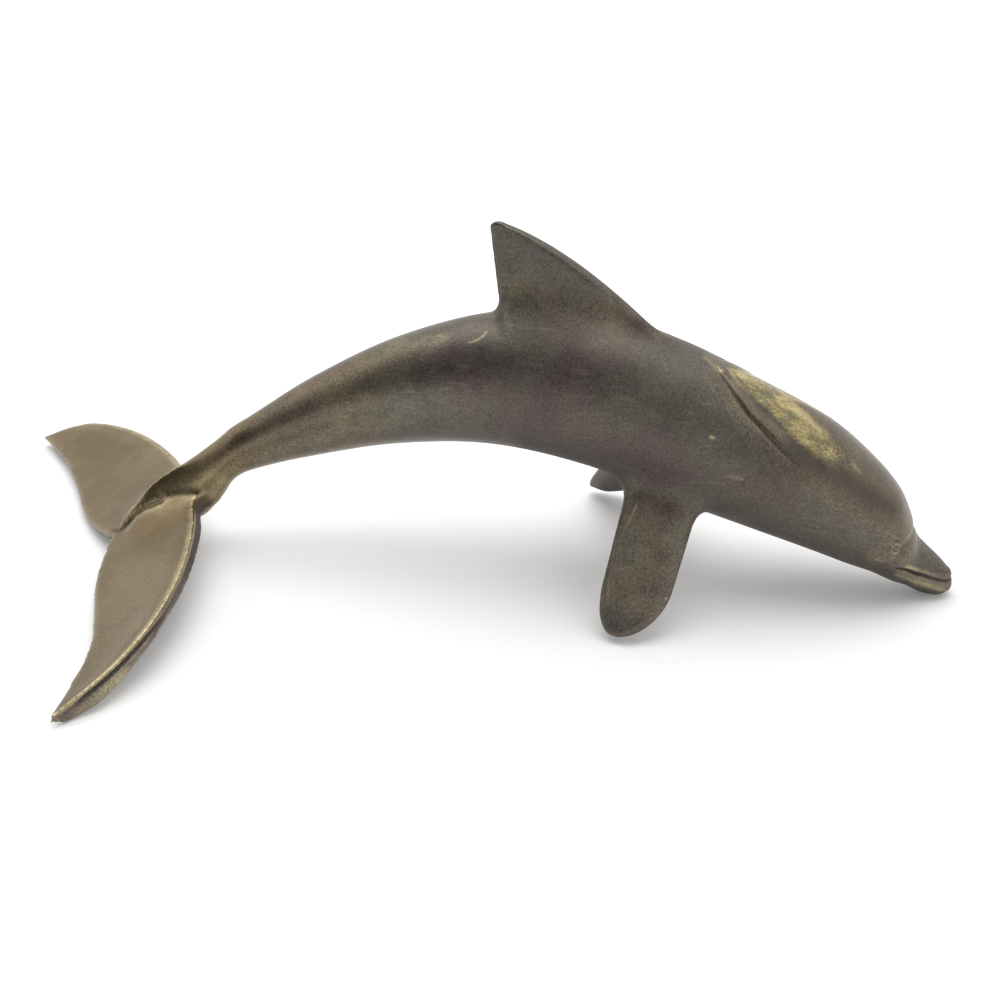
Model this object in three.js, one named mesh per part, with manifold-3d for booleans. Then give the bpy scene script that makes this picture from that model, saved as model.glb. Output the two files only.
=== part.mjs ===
// Cast brass dolphin figurine, leaping, resting on its beak and on both fluke tips.
// Millimetres. +X points out of the beak, +Y to the animal's left, +Z up.
// The origin is on the table, under the middle of the whole figure.
import * as THREE from 'three';
import { mergeVertices } from 'three/addons/utils/BufferGeometryUtils.js';
import Module from 'manifold-3d';

const wasm = await Module();
wasm.setup();

// Fits and fineness of the faces
const jointGap = 0.3;
const pinClearance = 0.2;
const roundFaces = 16;
const plateFaces = 20;
const bodyFaces = 28;
const hollowFaces = 20;
const headRings = 12;
const trunkRings = 24;
const keelRings = 12;
const hollowRings = 8;
const bladeRings = 12;
const lobeRings = 22;
const lobeRingCrowding = 1.25;
const swingSteps = 24;

// The joint of the tail flukes, and how far their keel runs on behind it
const bodyEnd = 152;
const keelLength = 21.5;
const keelEnd = bodyEnd + keelLength;

// Body sections, from the beak to the root of the tail. back is measured behind the front of the beak flat,
// middle is the height of the section's centre, high and wide are its half height and half width.
// The sections of the tail are set out from its joint.
const bodySections = [
  { back: -1.2, middle: 3.5, high: 1.4, wide: 1.8 },
  { back: 1, middle: 3.5, high: 3.75, wide: 3.5 },
  { back: 5, middle: 5.45, high: 5.4, wide: 5.2 },
  { back: 6.8, middle: 6.85, high: 5.85, wide: 6.4 },
  { back: 8, middle: 8.95, high: 7.45, wide: 7.3 },
  { back: 11, middle: 12.4, high: 10.1, wide: 9.1 },
  { back: 17, middle: 17.1, high: 12.0, wide: 11.1 },
  { back: 26, middle: 22.4, high: 14.0, wide: 12.5 },
  { back: 40, middle: 28.2, high: 15.4, wide: 13.2 },
  { back: 56, middle: 34.4, high: 16.5, wide: 14.0 },
  { back: 74, middle: 40.1, high: 15.9, wide: 13.5 },
  { back: 94, middle: 41.1, high: 13.9, wide: 11.5 },
  { back: bodyEnd - 38, middle: 37.0, high: 11.6, wide: 9.0 },
  { back: bodyEnd - 20, middle: 30.2, high: 8.8, wide: 6.4 },
  { back: bodyEnd - 6, middle: 23.6, high: 6.0, wide: 4.3 },
  { back: bodyEnd - 2, middle: 21.2, high: 5.8, wide: 4.0 },
  { back: bodyEnd + 1, middle: 17.7, high: 6.7, wide: 3.8 },
  { back: bodyEnd + 5, middle: 14.1, high: 7.3, wide: 3.5 },
  { back: bodyEnd + 8, middle: 12.8, high: 6.7, wide: 3.1 },
  { back: bodyEnd + 11, middle: 11.9, high: 6.0, wide: 2.6 },
  { back: bodyEnd + 15, middle: 10.2, high: 4.7, wide: 1.9 },
  { back: bodyEnd + 18, middle: 8.3, high: 3.1, wide: 1.3 },
  { back: keelEnd, middle: 5.6, high: 1.2, wide: 0.7 },
];

// The tail stock swings to the animal's right behind the dorsal fin
const swingStart = 94;
const swingLength = 70;
const tailSwing = 8.8;

// Hollows of the casting: one in the head, one in the rear trunk, with a solid bridge between
const wall = 4;
const headHollowStart = 18;
const headHollowEnd = 56;
const rearHollowStart = 82;
const rearHollowEnd = bodyEnd - 34;

// Crown cap, above a flat joint that slopes from the crest down to the brow
const capBack = 53;
const capTop = 49.5;
const capSlope = 38;
const capMargin = 4;

// Dorsal fin
const finTipHeight = 74.4;
const finRootHeight = 42;
const finRearBack = 93.2;
const finHook = 2;
const finHookDepth = 17;
const finChord = 27;
const finChordDepth = 16.7;
const finChordPower = 0.66;
const finRootThickness = 7.5;
const finTipThickness = 2.2;
const finTipRounding = 1.6;
const finTipBluntness = 0.15;
const finRingCrowding = 1.6;
const tongueFront = 69;
const tongueRear = 79;
const tongueBottom = 45;
const tongueTop = 58;
const tongueThickness = 3;
const tongueOverlap = 0.8;

// Flippers, drooping outward and down from the sides
const flipperRootBack = 57.5;
const flipperRootSide = 7;
const flipperRootHeight = 25;
const flipperLength = 33.5;
const flipperDroop = 44.3;
const flipperChord = 15.3;
const flipperTipChord = 13.4;
const flipperTipRounding = 0.3;
const flipperTipBluntness = 0.02;
const flipperRingCrowding = 1.4;
const flipperThickness = 6.4;
const flipperTipThickness = 3;
const rightFlipperSweep = 5.6;
const rightFlipperSweepPower = 1;
const leftFlipperSweep = 16.5;
const leftFlipperSweepPower = 1.5;
const spigotDiameter = 3.4;
const spigotBack = 60;
const spigotInnerEnd = -2.5;
const spigotOuterEnd = 7;

// Tail flukes: one plate of two lobes, nose up, its leading edge root just behind the joint. The curves of
// both edges are drawn over flukePlanSpan, and each lobe ends at its own span.
const flukeSetback = 7;
const flukeBack = bodyEnd + flukeSetback;
const flukeHeight = 12.5;
const flukeYaw = 25.5;
const flukePitch = 26;
const flukePlanSpan = 61;
const rightFlukeSpan = 62.2;
const leftFlukeSpan = 57.8;
const flukeSweep = 22.2;
const flukeSweepPower = 2;
const flukeTipSweep = 11;
const flukeTipSweepPower = 8;
const flukeWidth = 25.1;
const flukeTrailSweep = 8.6;
const flukeTrailPower = 3;
const flukeTipRounding = 3.2;
const flukeTipChord = 1.3;
const notchDepth = 5.6;
const notchWidth = 21;
const heelDepth = 5.5;
const heelWidth = 8;
const flukeThickness = 5;
const flukeTipThickness = 7;
const flukeTipRise = 4.7;
const flukeTipRisePower = 2.4;
const flukeTopShare = 0.15;
const trailingThinness = 0.35;

// Tenon of the flukes and its cross pin, which sits tailPinInset along the tenon from the joint
const tenonDiameter = 3.6;
const tenonLength = 8;
const tenonRoot = 3;
const tailPinDiameter = 1.5;
const tailPinInset = 5;
const tailPinCover = 1.5;

// Dowels between the body halves
const dowels = [
  { name: 'front_dowel', back: 10, height: 9.5, diameter: 3, length: 9 },
  { name: 'middle_dowel', back: 72, height: 35, diameter: 4, length: 14 },
  { name: 'rear_dowel', back: bodyEnd - 24, height: 31, diameter: 3, length: 8 },
];

const radians = THREE.MathUtils.degToRad;

// Brass, as the photograph shows it on each casting
function brass(color, roughness) {
  return new THREE.MeshStandardMaterial({ color, roughness, metalness: 1 });
}
const bodyBrass = brass(0x6b6156, 0.48);
const crownBrass = brass(0xa39561, 0.38);
const finBrass = brass(0x655c52, 0.46);
const flukeBrass = brass(0x8f8270, 0.36);
const pinBrass = brass(0xb59a5a, 0.35);

// Six times the volume inside a closed set of triangles, negative when they face inward
function signedVolume(points, triangles) {
  const [a, b, c] = [new THREE.Vector3(), new THREE.Vector3(), new THREE.Vector3()];
  let volume = 0;
  for (let i = 0; i < triangles.length; i += 3) {
    a.fromArray(points, 3 * triangles[i]);
    b.fromArray(points, 3 * triangles[i + 1]);
    c.fromArray(points, 3 * triangles[i + 2]);
    volume += a.dot(b.cross(c));
  }
  return volume;
}

// A closed geometry of merged vertices becomes a solid that can be joined and cut
function solidOf(geometry) {
  const bare = geometry.index ? geometry.toNonIndexed() : geometry.clone();
  bare.deleteAttribute('normal');
  bare.deleteAttribute('uv');
  const merged = mergeVertices(bare, 1e-4);
  const vertProperties = new Float32Array(merged.attributes.position.array);
  const corners = merged.index.array;
  const kept = [];
  for (let i = 0; i < corners.length; i += 3) {
    const [a, b, c] = [corners[i], corners[i + 1], corners[i + 2]];
    if (a !== b && b !== c && c !== a) kept.push(a, b, c);
  }
  if (signedVolume(vertProperties, kept) < 0) kept.reverse();
  const triVerts = new Uint32Array(kept);
  return new wasm.Manifold(new wasm.Mesh({ numProp: 3, vertProperties, triVerts }));
}

function meshOf(name, solid, material) {
  const { vertProperties, triVerts } = solid.getMesh();
  const geometry = new THREE.BufferGeometry();
  geometry.setAttribute('position', new THREE.BufferAttribute(new Float32Array(vertProperties), 3));
  geometry.setIndex(new THREE.BufferAttribute(new Uint32Array(triVerts), 1));
  geometry.computeVertexNormals();
  const mesh = new THREE.Mesh(geometry, material);
  mesh.name = name;
  return mesh;
}

// A unit cylinder pulled into shape: place(along, up, across) gets the share of the length from 0 to 1
// and the two coordinates on the unit circle, and gives back the point in space
function shapedCylinder(around, rings, place) {
  const geometry = new THREE.CylinderGeometry(1, 1, 1, around, rings);
  const points = geometry.attributes.position;
  for (let i = 0; i < points.count; i += 1) {
    const point = place(0.5 - points.getY(i), points.getX(i), points.getZ(i));
    points.setXYZ(i, point.x, point.y, point.z);
  }
  return solidOf(geometry);
}

function box(xMin, xMax, yMin, yMax, zMin, zMax) {
  const geometry = new THREE.BoxGeometry(xMax - xMin, yMax - yMin, zMax - zMin);
  geometry.translate((xMin + xMax) / 2, (yMin + yMax) / 2, (zMin + zMax) / 2);
  return solidOf(geometry);
}

// A round rod between two points
function rod(from, to, diameter) {
  const axis = to.clone().sub(from);
  const geometry = new THREE.CylinderGeometry(diameter / 2, diameter / 2, axis.length(), roundFaces);
  const upright = new THREE.Vector3(0, 1, 0);
  geometry.applyQuaternion(new THREE.Quaternion().setFromUnitVectors(upright, axis.clone().normalize()));
  const middle = from.clone().add(to).multiplyScalar(0.5);
  geometry.translate(middle.x, middle.y, middle.z);
  return solidOf(geometry);
}

// One size of the body at any distance behind the beak: a smooth curve through the sections
function bodySize(key, back) {
  const last = bodySections.length - 1;
  let i = 0;
  while (i < last - 1 && bodySections[i + 1].back < back) i += 1;
  const slope = (k) => {
    const before = bodySections[Math.max(k - 1, 0)];
    const after = bodySections[Math.min(k + 1, last)];
    return (after[key] - before[key]) / (after.back - before.back);
  };
  const start = bodySections[i];
  const end = bodySections[i + 1];
  const step = end.back - start.back;
  const t = (back - start.back) / step;
  const rise = t * t * (3 - 2 * t);
  return start[key] + (end[key] - start[key]) * rise
    + slope(i) * step * t * (1 - t) * (1 - t) - slope(i + 1) * step * t * t * (1 - t);
}

// Sideways place and heading of the centre plane
function swingAt(back) {
  const share = Math.max(back - swingStart, 0) / swingLength;
  return -tailSwing * share ** 3;
}

function headingAt(back) {
  const share = Math.max(back - swingStart, 0) / swingLength;
  return Math.atan(3 * tailSwing * share ** 2 / swingLength);
}

function spinePoint(back) {
  return new THREE.Vector3(-back, swingAt(back), bodySize('middle', back));
}

// A stretch of the body, drawn in by inset all round
function bodyStretch(from, to, inset, around, rings) {
  return shapedCylinder(around, rings, (along, up, across) => {
    const back = from + (to - from) * along;
    const heading = headingAt(back);
    const high = bodySize('high', back) - inset;
    const wide = bodySize('wide', back) - inset;
    const side = across * wide;
    return new THREE.Vector3(
      -back - side * Math.sin(heading),
      swingAt(back) + side * Math.cos(heading),
      bodySize('middle', back) + up * high,
    );
  });
}

const beakEnd = bodySections[0].back;
const roomAround = 400;
const belowTable = box(-roomAround, roomAround, -roomAround, roomAround, -roomAround, 0);

// The whole outside of the body: close rings in the head, wider ones behind it
const headStretchEnd = 20;
function bodyOutside(inset) {
  const head = bodyStretch(beakEnd, headStretchEnd, inset, bodyFaces, headRings);
  const trunk = bodyStretch(headStretchEnd, bodyEnd, inset, bodyFaces, trunkRings);
  return head.add(trunk);
}

// Everything on one side of the centre plane, which follows the swing of the tail
function sideRegion(sign) {
  const plan = new THREE.Shape();
  plan.moveTo(roomAround / 2, sign * roomAround / 2);
  plan.lineTo(roomAround / 2, sign * jointGap / 2);
  for (let i = 0; i <= swingSteps; i += 1) {
    const back = swingStart + (keelEnd - swingStart) * i / swingSteps;
    plan.lineTo(-back, swingAt(back) + sign * jointGap / 2);
  }
  plan.lineTo(-roomAround / 2, swingAt(keelEnd) + sign * jointGap / 2);
  plan.lineTo(-roomAround / 2, sign * roomAround / 2);
  plan.closePath();
  const geometry = new THREE.ExtrudeGeometry(plan, { depth: roomAround, bevelEnabled: false });
  geometry.translate(0, 0, -roomAround / 2);
  return solidOf(geometry);
}

// Everything above the cap joint, lifted by rise
function aboveCapJoint(rise) {
  const geometry = new THREE.BoxGeometry(roomAround, roomAround, roomAround);
  geometry.translate(0, 0, roomAround / 2 + rise);
  geometry.rotateY(radians(capSlope));
  geometry.translate(-capBack, 0, capTop);
  const allAbove = solidOf(geometry);
  const headOnly = box(-capBack - capMargin, roomAround, -roomAround, roomAround, -roomAround, roomAround);
  return allAbove.intersect(headOnly);
}

// A rounded plate section: across runs from the leading edge (+1) to the trailing edge (-1)
function plateHeight(across, up, thickness) {
  const fullness = trailingThinness + (1 - trailingThinness) * (1 + across) / 2;
  return up * fullness * thickness / 2;
}

// Dorsal fin: sections stacked from inside the back up to the tip
function finBlade() {
  return shapedCylinder(plateFaces, bladeRings, (along, up, across) => {
    const drop = (finTipHeight - finRootHeight) * (1 - along) ** finRingCrowding + finTipBluntness;
    const chord = finChord * (drop / finChordDepth) ** finChordPower;
    const hook = finHook * Math.max(1 - drop / finHookDepth, 0);
    const rear = -finRearBack - hook + finTipRounding * Math.max(1 - drop, 0);
    const share = drop / (finTipHeight - finRootHeight);
    const thickness = THREE.MathUtils.lerp(finTipThickness, finRootThickness, share);
    const side = plateHeight(across, up, thickness);
    return new THREE.Vector3(rear + chord * (1 + across) / 2, side, finTipHeight - drop);
  });
}

function finTongue(clearance) {
  return box(
    -tongueRear - clearance, -tongueFront + clearance,
    -tongueThickness / 2 - clearance, tongueThickness / 2 + clearance,
    tongueBottom - clearance, tongueTop,
  );
}

// Flippers: sign is -1 for the right one and +1 for the left one
function flipperPoint(sign, backward, outward, lift) {
  const droop = radians(flipperDroop);
  return new THREE.Vector3(
    -flipperRootBack - backward,
    sign * (flipperRootSide + outward * Math.cos(droop) + lift * Math.sin(droop)),
    flipperRootHeight - outward * Math.sin(droop) + lift * Math.cos(droop),
  );
}

function flipperBlade(sign, sweep, sweepPower) {
  return shapedCylinder(plateFaces, bladeRings, (along, up, across) => {
    const reach = 1 - (1 - along) ** flipperRingCrowding;
    const rounding = Math.min((1 - reach) / flipperTipRounding, 1);
    const fullChord = THREE.MathUtils.lerp(flipperChord, flipperTipChord, reach);
    const chord = fullChord * Math.sqrt(Math.max(1 - (1 - rounding) ** 2, flipperTipBluntness));
    const thickness = THREE.MathUtils.lerp(flipperThickness, flipperTipThickness, reach);
    const backward = sweep * reach ** sweepPower - across * chord / 2;
    return flipperPoint(sign, backward, reach * flipperLength, plateHeight(across, up, thickness));
  });
}

function flipperSpigot(sign, clearance) {
  const backward = spigotBack - flipperRootBack;
  const inner = flipperPoint(sign, backward, spigotInnerEnd - clearance, 0);
  const outer = flipperPoint(sign, backward, spigotOuterEnd, 0);
  return rod(inner, outer, spigotDiameter + 2 * clearance);
}

// Flukes: backward along the plate, outward to either side, lift off the plate
function flukePoint(sign, backward, outward, lift) {
  const point = new THREE.Vector3(-backward, sign * outward, lift);
  point.applyEuler(new THREE.Euler(0, -radians(flukePitch), 0));
  point.applyEuler(new THREE.Euler(0, 0, radians(flukeYaw)));
  return point.add(new THREE.Vector3(-flukeBack, swingAt(flukeBack), flukeHeight));
}

// How far behind the root both edges of a lobe lie, at a distance out from the middle
function flukeEdges(span, outward) {
  const share = outward / flukePlanSpan;
  const heel = heelDepth * Math.max(1 - outward / heelWidth, 0) ** 2;
  const notch = notchDepth * Math.max(1 - outward / notchWidth, 0) ** 2;
  const sweep = flukeSweep * share ** flukeSweepPower + flukeTipSweep * share ** flukeTipSweepPower;
  const trailing = flukeWidth + flukeTrailSweep * share ** flukeTrailPower - notch;
  const tip = THREE.MathUtils.clamp((outward - span) / flukeTipRounding + 1, 0, 1);
  const closing = 1 - Math.sqrt(1 - tip ** 2);
  const leading = THREE.MathUtils.lerp(sweep - heel, trailing - flukeTipChord, closing);
  return { leading, trailing };
}

function flukeLobe(sign, span) {
  return shapedCylinder(plateFaces, lobeRings, (along, up, across) => {
    const outward = span * (1 - (1 - along) ** lobeRingCrowding);
    const { leading, trailing } = flukeEdges(span, outward);
    const share = outward / flukePlanSpan;
    const thickness = THREE.MathUtils.lerp(flukeThickness, flukeTipThickness, share);
    const backward = leading + (trailing - leading) * (1 - across) / 2;
    const depth = 2 * plateHeight(across, up, thickness);
    const lift = depth * (up > 0 ? flukeTopShare : 1 - flukeTopShare)
      + flukeTipRise * share ** flukeTipRisePower;
    return flukePoint(sign, backward, outward, lift);
  });
}

// A point on the axis of the tenon, measured forward from the joint
function tenonPoint(distance) {
  const joint = spinePoint(bodyEnd);
  const direction = spinePoint(bodyEnd - tenonLength).sub(joint).normalize();
  return joint.addScaledVector(direction, distance);
}

function tailTenon(clearance) {
  return rod(tenonPoint(-tenonRoot), tenonPoint(tenonLength + clearance), tenonDiameter + 2 * clearance);
}

// A pin straight across the centre plane, or its bore when there is a clearance
function crossPin(pin, clearance) {
  const heading = headingAt(pin.back);
  const across = new THREE.Vector3(-Math.sin(heading), Math.cos(heading), 0);
  across.multiplyScalar(pin.length / 2 + clearance);
  const middle = new THREE.Vector3(-pin.back, swingAt(pin.back), pin.height);
  return rod(middle.clone().sub(across), middle.clone().add(across), pin.diameter + 2 * clearance);
}

// The pin of the tenon ends inside both halves, so it is hidden once they are closed
const tailPinPlace = tenonPoint(tailPinInset);
const tailPin = {
  name: 'tail_pin',
  back: -tailPinPlace.x,
  height: tailPinPlace.z,
  diameter: tailPinDiameter,
  length: 2 * (bodySize('wide', -tailPinPlace.x) - tailPinCover),
};

// Body halves and crown cap
const headHollow = bodyStretch(headHollowStart, headHollowEnd, wall, hollowFaces, hollowRings);
const rearHollow = bodyStretch(rearHollowStart, rearHollowEnd, wall, hollowFaces, hollowRings);
let bodyCasting = bodyOutside(0)
  .subtract(headHollow)
  .subtract(rearHollow)
  .subtract(belowTable)
  .subtract(aboveCapJoint(0))
  .subtract(finTongue(jointGap))
  .subtract(flipperSpigot(-1, jointGap))
  .subtract(flipperSpigot(1, jointGap))
  .subtract(tailTenon(jointGap))
  .subtract(crossPin(tailPin, pinClearance));
for (const dowel of dowels) {
  bodyCasting = bodyCasting.subtract(crossPin(dowel, pinClearance));
}
const rightBody = bodyCasting.intersect(sideRegion(-1));
const leftBody = bodyCasting.intersect(sideRegion(1));
const crownCap = bodyOutside(0).intersect(aboveCapJoint(jointGap));

// Fins, cut to the back and sides with an even gap, then given their tongue or spigot
const bodyWithGap = bodyOutside(-jointGap);
const dorsalFin = finBlade().subtract(bodyWithGap)
  .add(finTongue(0).intersect(bodyOutside(-tongueOverlap)));
const rightFlipper = flipperBlade(-1, rightFlipperSweep, rightFlipperSweepPower).subtract(bodyWithGap)
  .add(flipperSpigot(-1, 0)).subtract(belowTable);
const leftFlipper = flipperBlade(1, leftFlipperSweep, leftFlipperSweepPower).subtract(bodyWithGap)
  .add(flipperSpigot(1, 0)).subtract(belowTable);

// Flukes with their keel and tenon
const keel = bodyStretch(bodyEnd + jointGap, keelEnd, 0, bodyFaces, keelRings);
const tailFlukes = flukeLobe(-1, rightFlukeSpan).add(flukeLobe(1, leftFlukeSpan)).add(keel).add(tailTenon(0))
  .subtract(belowTable)
  .subtract(crossPin(tailPin, pinClearance));

const dolphin = new THREE.Group();
dolphin.add(meshOf('right_body_half', rightBody, bodyBrass));
dolphin.add(meshOf('left_body_half', leftBody, bodyBrass));
dolphin.add(meshOf('crown_cap', crownCap, crownBrass));
dolphin.add(meshOf('dorsal_fin', dorsalFin, finBrass));
dolphin.add(meshOf('right_flipper', rightFlipper, finBrass));
dolphin.add(meshOf('left_flipper', leftFlipper, finBrass));
dolphin.add(meshOf('tail_flukes', tailFlukes, flukeBrass));
for (const pin of [...dowels, tailPin]) {
  dolphin.add(meshOf(pin.name, crossPin(pin, 0), pinBrass));
}

// The whole figure is moved so that the origin lies under its middle
const around = new THREE.Box3().setFromObject(dolphin);
dolphin.position.set(-(around.min.x + around.max.x) / 2, -(around.min.y + around.max.y) / 2, 0);

export default dolphin;
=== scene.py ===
import bpy, bmesh
import numpy as np
from functools import partial
from math import radians
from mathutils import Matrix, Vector
from mathutils.bvhtree import BVHTree


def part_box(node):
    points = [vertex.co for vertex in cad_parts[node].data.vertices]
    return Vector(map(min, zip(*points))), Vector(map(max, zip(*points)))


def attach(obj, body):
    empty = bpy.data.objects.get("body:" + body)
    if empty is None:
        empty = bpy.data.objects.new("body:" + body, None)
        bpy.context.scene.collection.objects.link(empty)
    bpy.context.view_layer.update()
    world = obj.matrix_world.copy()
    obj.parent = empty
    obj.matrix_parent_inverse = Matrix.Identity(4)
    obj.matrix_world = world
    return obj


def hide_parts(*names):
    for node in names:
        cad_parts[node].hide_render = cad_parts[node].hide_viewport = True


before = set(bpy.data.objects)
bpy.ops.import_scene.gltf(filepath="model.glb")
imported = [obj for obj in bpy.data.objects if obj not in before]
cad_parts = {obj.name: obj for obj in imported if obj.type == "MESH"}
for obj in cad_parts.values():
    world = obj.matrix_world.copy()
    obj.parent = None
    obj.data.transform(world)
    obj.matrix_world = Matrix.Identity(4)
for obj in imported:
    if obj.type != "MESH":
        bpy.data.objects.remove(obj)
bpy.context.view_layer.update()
scene = bpy.context.scene
scene.view_settings.view_transform = "Standard"
mm = 0.001

# Drawing frame: millimetres, x forward from the front of the beak flat, y to the animal's left, z up.
# The dowel in the head stands on the middle plane, this far behind that point.
frontDowelBack = 10
dowelLow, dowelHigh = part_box("front_dowel")
dowelMiddle = (np.array(dowelLow) + np.array(dowelHigh)) / 2 / mm
drawingOrigin = np.array([dowelMiddle[0] + frontDowelBack, dowelMiddle[1], 0.0])


def toRow(points):
    return (np.asarray(points, float) + drawingOrigin) * mm


def toDrawing(points):
    return np.asarray(points, float) / mm - drawingOrigin


# Camera
cameraSettings = {
    "place": (-41.33, -293.64, 174.7),      # in the drawing frame
    "tiltDown": 28.49,                      # degrees below level
    "turn": 10.0,                           # degrees, from looking along +Y towards -X
    "roll": 0.0,
    "lens": 57.6,                           # millimetres on a 36 mm square
}
cameraData = bpy.data.cameras.new("photoCamera")
cameraData.lens = cameraSettings["lens"]
cameraData.sensor_width = 36
cameraData.clip_start = 0.01
cameraData.clip_end = 20
camera = bpy.data.objects.new("photoCamera", cameraData)
camera.location = toRow(cameraSettings["place"])
camera.rotation_euler = (radians(90 - cameraSettings["tiltDown"]), radians(cameraSettings["roll"]),
                         radians(cameraSettings["turn"]))
scene.collection.objects.link(camera)
scene.camera = camera

# Small helpers


def smoothStep(low, high, value):
    share = np.clip((np.asarray(value, float) - low) / (high - low), 0, 1)
    return share * share * (3 - 2 * share)


def bump(value, middle, reach):
    return np.exp(-((np.asarray(value, float) - middle) / reach) ** 2)


def roundOff(share, least=0.0):
    # a quarter circle: from nought at a tip or an edge to full where share reaches 1
    return np.sqrt(np.clip(1 - (1 - np.clip(share, 0, 1)) ** 2, least, 1))


def pathDistance(points, path):
    # nearest distance from points to a run of straight stretches, and the share of its length there
    path = np.array(path, float)
    steps = np.linalg.norm(np.diff(path, axis=0), axis=1)
    runs = np.concatenate([[0], np.cumsum(steps)])
    best = np.full(len(points), 1e9)
    along = np.zeros(len(points))
    for start, end, step, run in zip(path[:-1], path[1:], steps, runs):
        way = (end - start) / step
        t = np.clip((points - start) @ way, 0, step)
        gap = np.linalg.norm(points - (start + t[:, None] * way), axis=1)
        nearer = gap < best
        best[nearer] = gap[nearer]
        along[nearer] = (run + t[nearer]) / runs[-1]
    return best, along


def meshPoints(mesh):
    flat = np.empty(len(mesh.vertices) * 3, np.float32)
    mesh.vertices.foreach_get("co", flat)
    return flat.reshape(-1, 3).astype(float)


def meshNormals(mesh):
    flat = np.empty(len(mesh.vertices) * 3, np.float32)
    mesh.vertex_normals.foreach_get("vector", flat)
    return flat.reshape(-1, 3).astype(float)


def setPoints(mesh, points):
    mesh.vertices.foreach_set("co", points.astype(np.float32).ravel())
    mesh.update()


def newMeshObject(name, points, faces):
    mesh = bpy.data.meshes.new(name)
    mesh.from_pydata([tuple(p) for p in points], [], [tuple(f) for f in faces])
    mesh.validate()
    piece = bpy.data.objects.new(name, mesh)
    scene.collection.objects.link(piece)
    return piece


def loft(name, rings):
    # rings: stations x points around x 3, in the drawing frame
    stations, around = rings.shape[:2]
    faces = []
    for i in range(stations - 1):
        for j in range(around):
            k = (j + 1) % around
            faces.append((i * around + j, i * around + k, (i + 1) * around + k, (i + 1) * around + j))
    faces.append(tuple(range(around))[::-1])
    faces.append(tuple(range((stations - 1) * around, stations * around)))
    piece = newMeshObject(name, toRow(rings.reshape(-1, 3)), faces)
    work = bmesh.new()
    work.from_mesh(piece.data)
    bmesh.ops.recalc_face_normals(work, faces=work.faces)
    work.to_mesh(piece.data)
    work.free()
    return piece


# Body
bodySettings = {
    # back, middle height, half height, half width of each section
    "sections": [
        # beak
        (-0.8, 3.5, 1.6, 2.0), (1, 3.5, 3.75, 3.5), (5, 5.45, 5.4, 5.2), (6.8, 6.85, 5.85, 6.4),
        # head
        (8, 8.95, 7.45, 7.3), (11, 12.4, 10.1, 9.1), (17, 17.1, 12.0, 11.1), (26, 22.4, 14.0, 12.5),
        # trunk
        (40, 28.2, 15.4, 13.2), (56, 34.4, 16.5, 14.0), (74, 40.1, 15.9, 13.5), (94, 41.1, 13.9, 11.5),
        # tail stock
        (114, 37.0, 11.6, 9.0), (132, 30.2, 8.8, 6.4), (146, 23.6, 6.0, 4.3), (150, 21.2, 5.8, 4.0),
        # keel
        (153, 17.7, 6.7, 3.8), (157, 14.1, 7.3, 3.5), (160, 12.8, 6.7, 3.1), (163, 11.9, 6.0, 2.6),
        (167, 10.2, 4.7, 1.9), (170, 8.3, 3.1, 1.3), (173.5, 5.6, 1.2, 0.6),
    ],
    "ringStep": 0.8,
    "around": 96,
    "bodyEnd": 152,          # the joint of the tail flukes
    "keelEnd": 173.5,
    # from here the top of the stock narrows to a ridge with hollow sides, and over what length
    "keelRidgeStart": 154, "keelRidgeLength": 8,
    "keelRoundness": 1.25,   # 2 is an ellipse, 1 a ridge with flat sides
    "jawRoundness": 1.6,     # the lower jaw is a rounded V, gone by the throat
    "jawEnd": (12, 22),
    "jawTipBluntness": 0.45,
    "beakClosing": (1.3, 0.9),      # the beak rounds off from this far in front of its flat, over this length
    "swingStart": 94, "swingLength": 70, "tailSwing": 8.8,
}


def bodySize(column, back):
    table = np.array(bodySettings["sections"])
    places, values = table[:, 0], table[:, column]
    back = np.clip(np.asarray(back, float), places[0], places[-1])
    slopes = np.empty(len(places))
    slopes[1:-1] = (values[2:] - values[:-2]) / (places[2:] - places[:-2])
    slopes[0] = (values[1] - values[0]) / (places[1] - places[0])
    slopes[-1] = (values[-1] - values[-2]) / (places[-1] - places[-2])
    i = np.clip(np.searchsorted(places, back, side="right") - 1, 0, len(places) - 2)
    step = places[i + 1] - places[i]
    t = (back - places[i]) / step
    rise = t * t * (3 - 2 * t)
    return (values[i] + (values[i + 1] - values[i]) * rise
            + slopes[i] * step * t * (1 - t) ** 2 - slopes[i + 1] * step * t * t * (1 - t))


def swingAt(back):
    share = np.maximum(np.asarray(back, float) - bodySettings["swingStart"], 0) / bodySettings["swingLength"]
    return -bodySettings["tailSwing"] * share ** 3


def headingAt(back):
    share = np.maximum(np.asarray(back, float) - bodySettings["swingStart"], 0) / bodySettings["swingLength"]
    return np.arctan(3 * bodySettings["tailSwing"] * share ** 2 / bodySettings["swingLength"])


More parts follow.
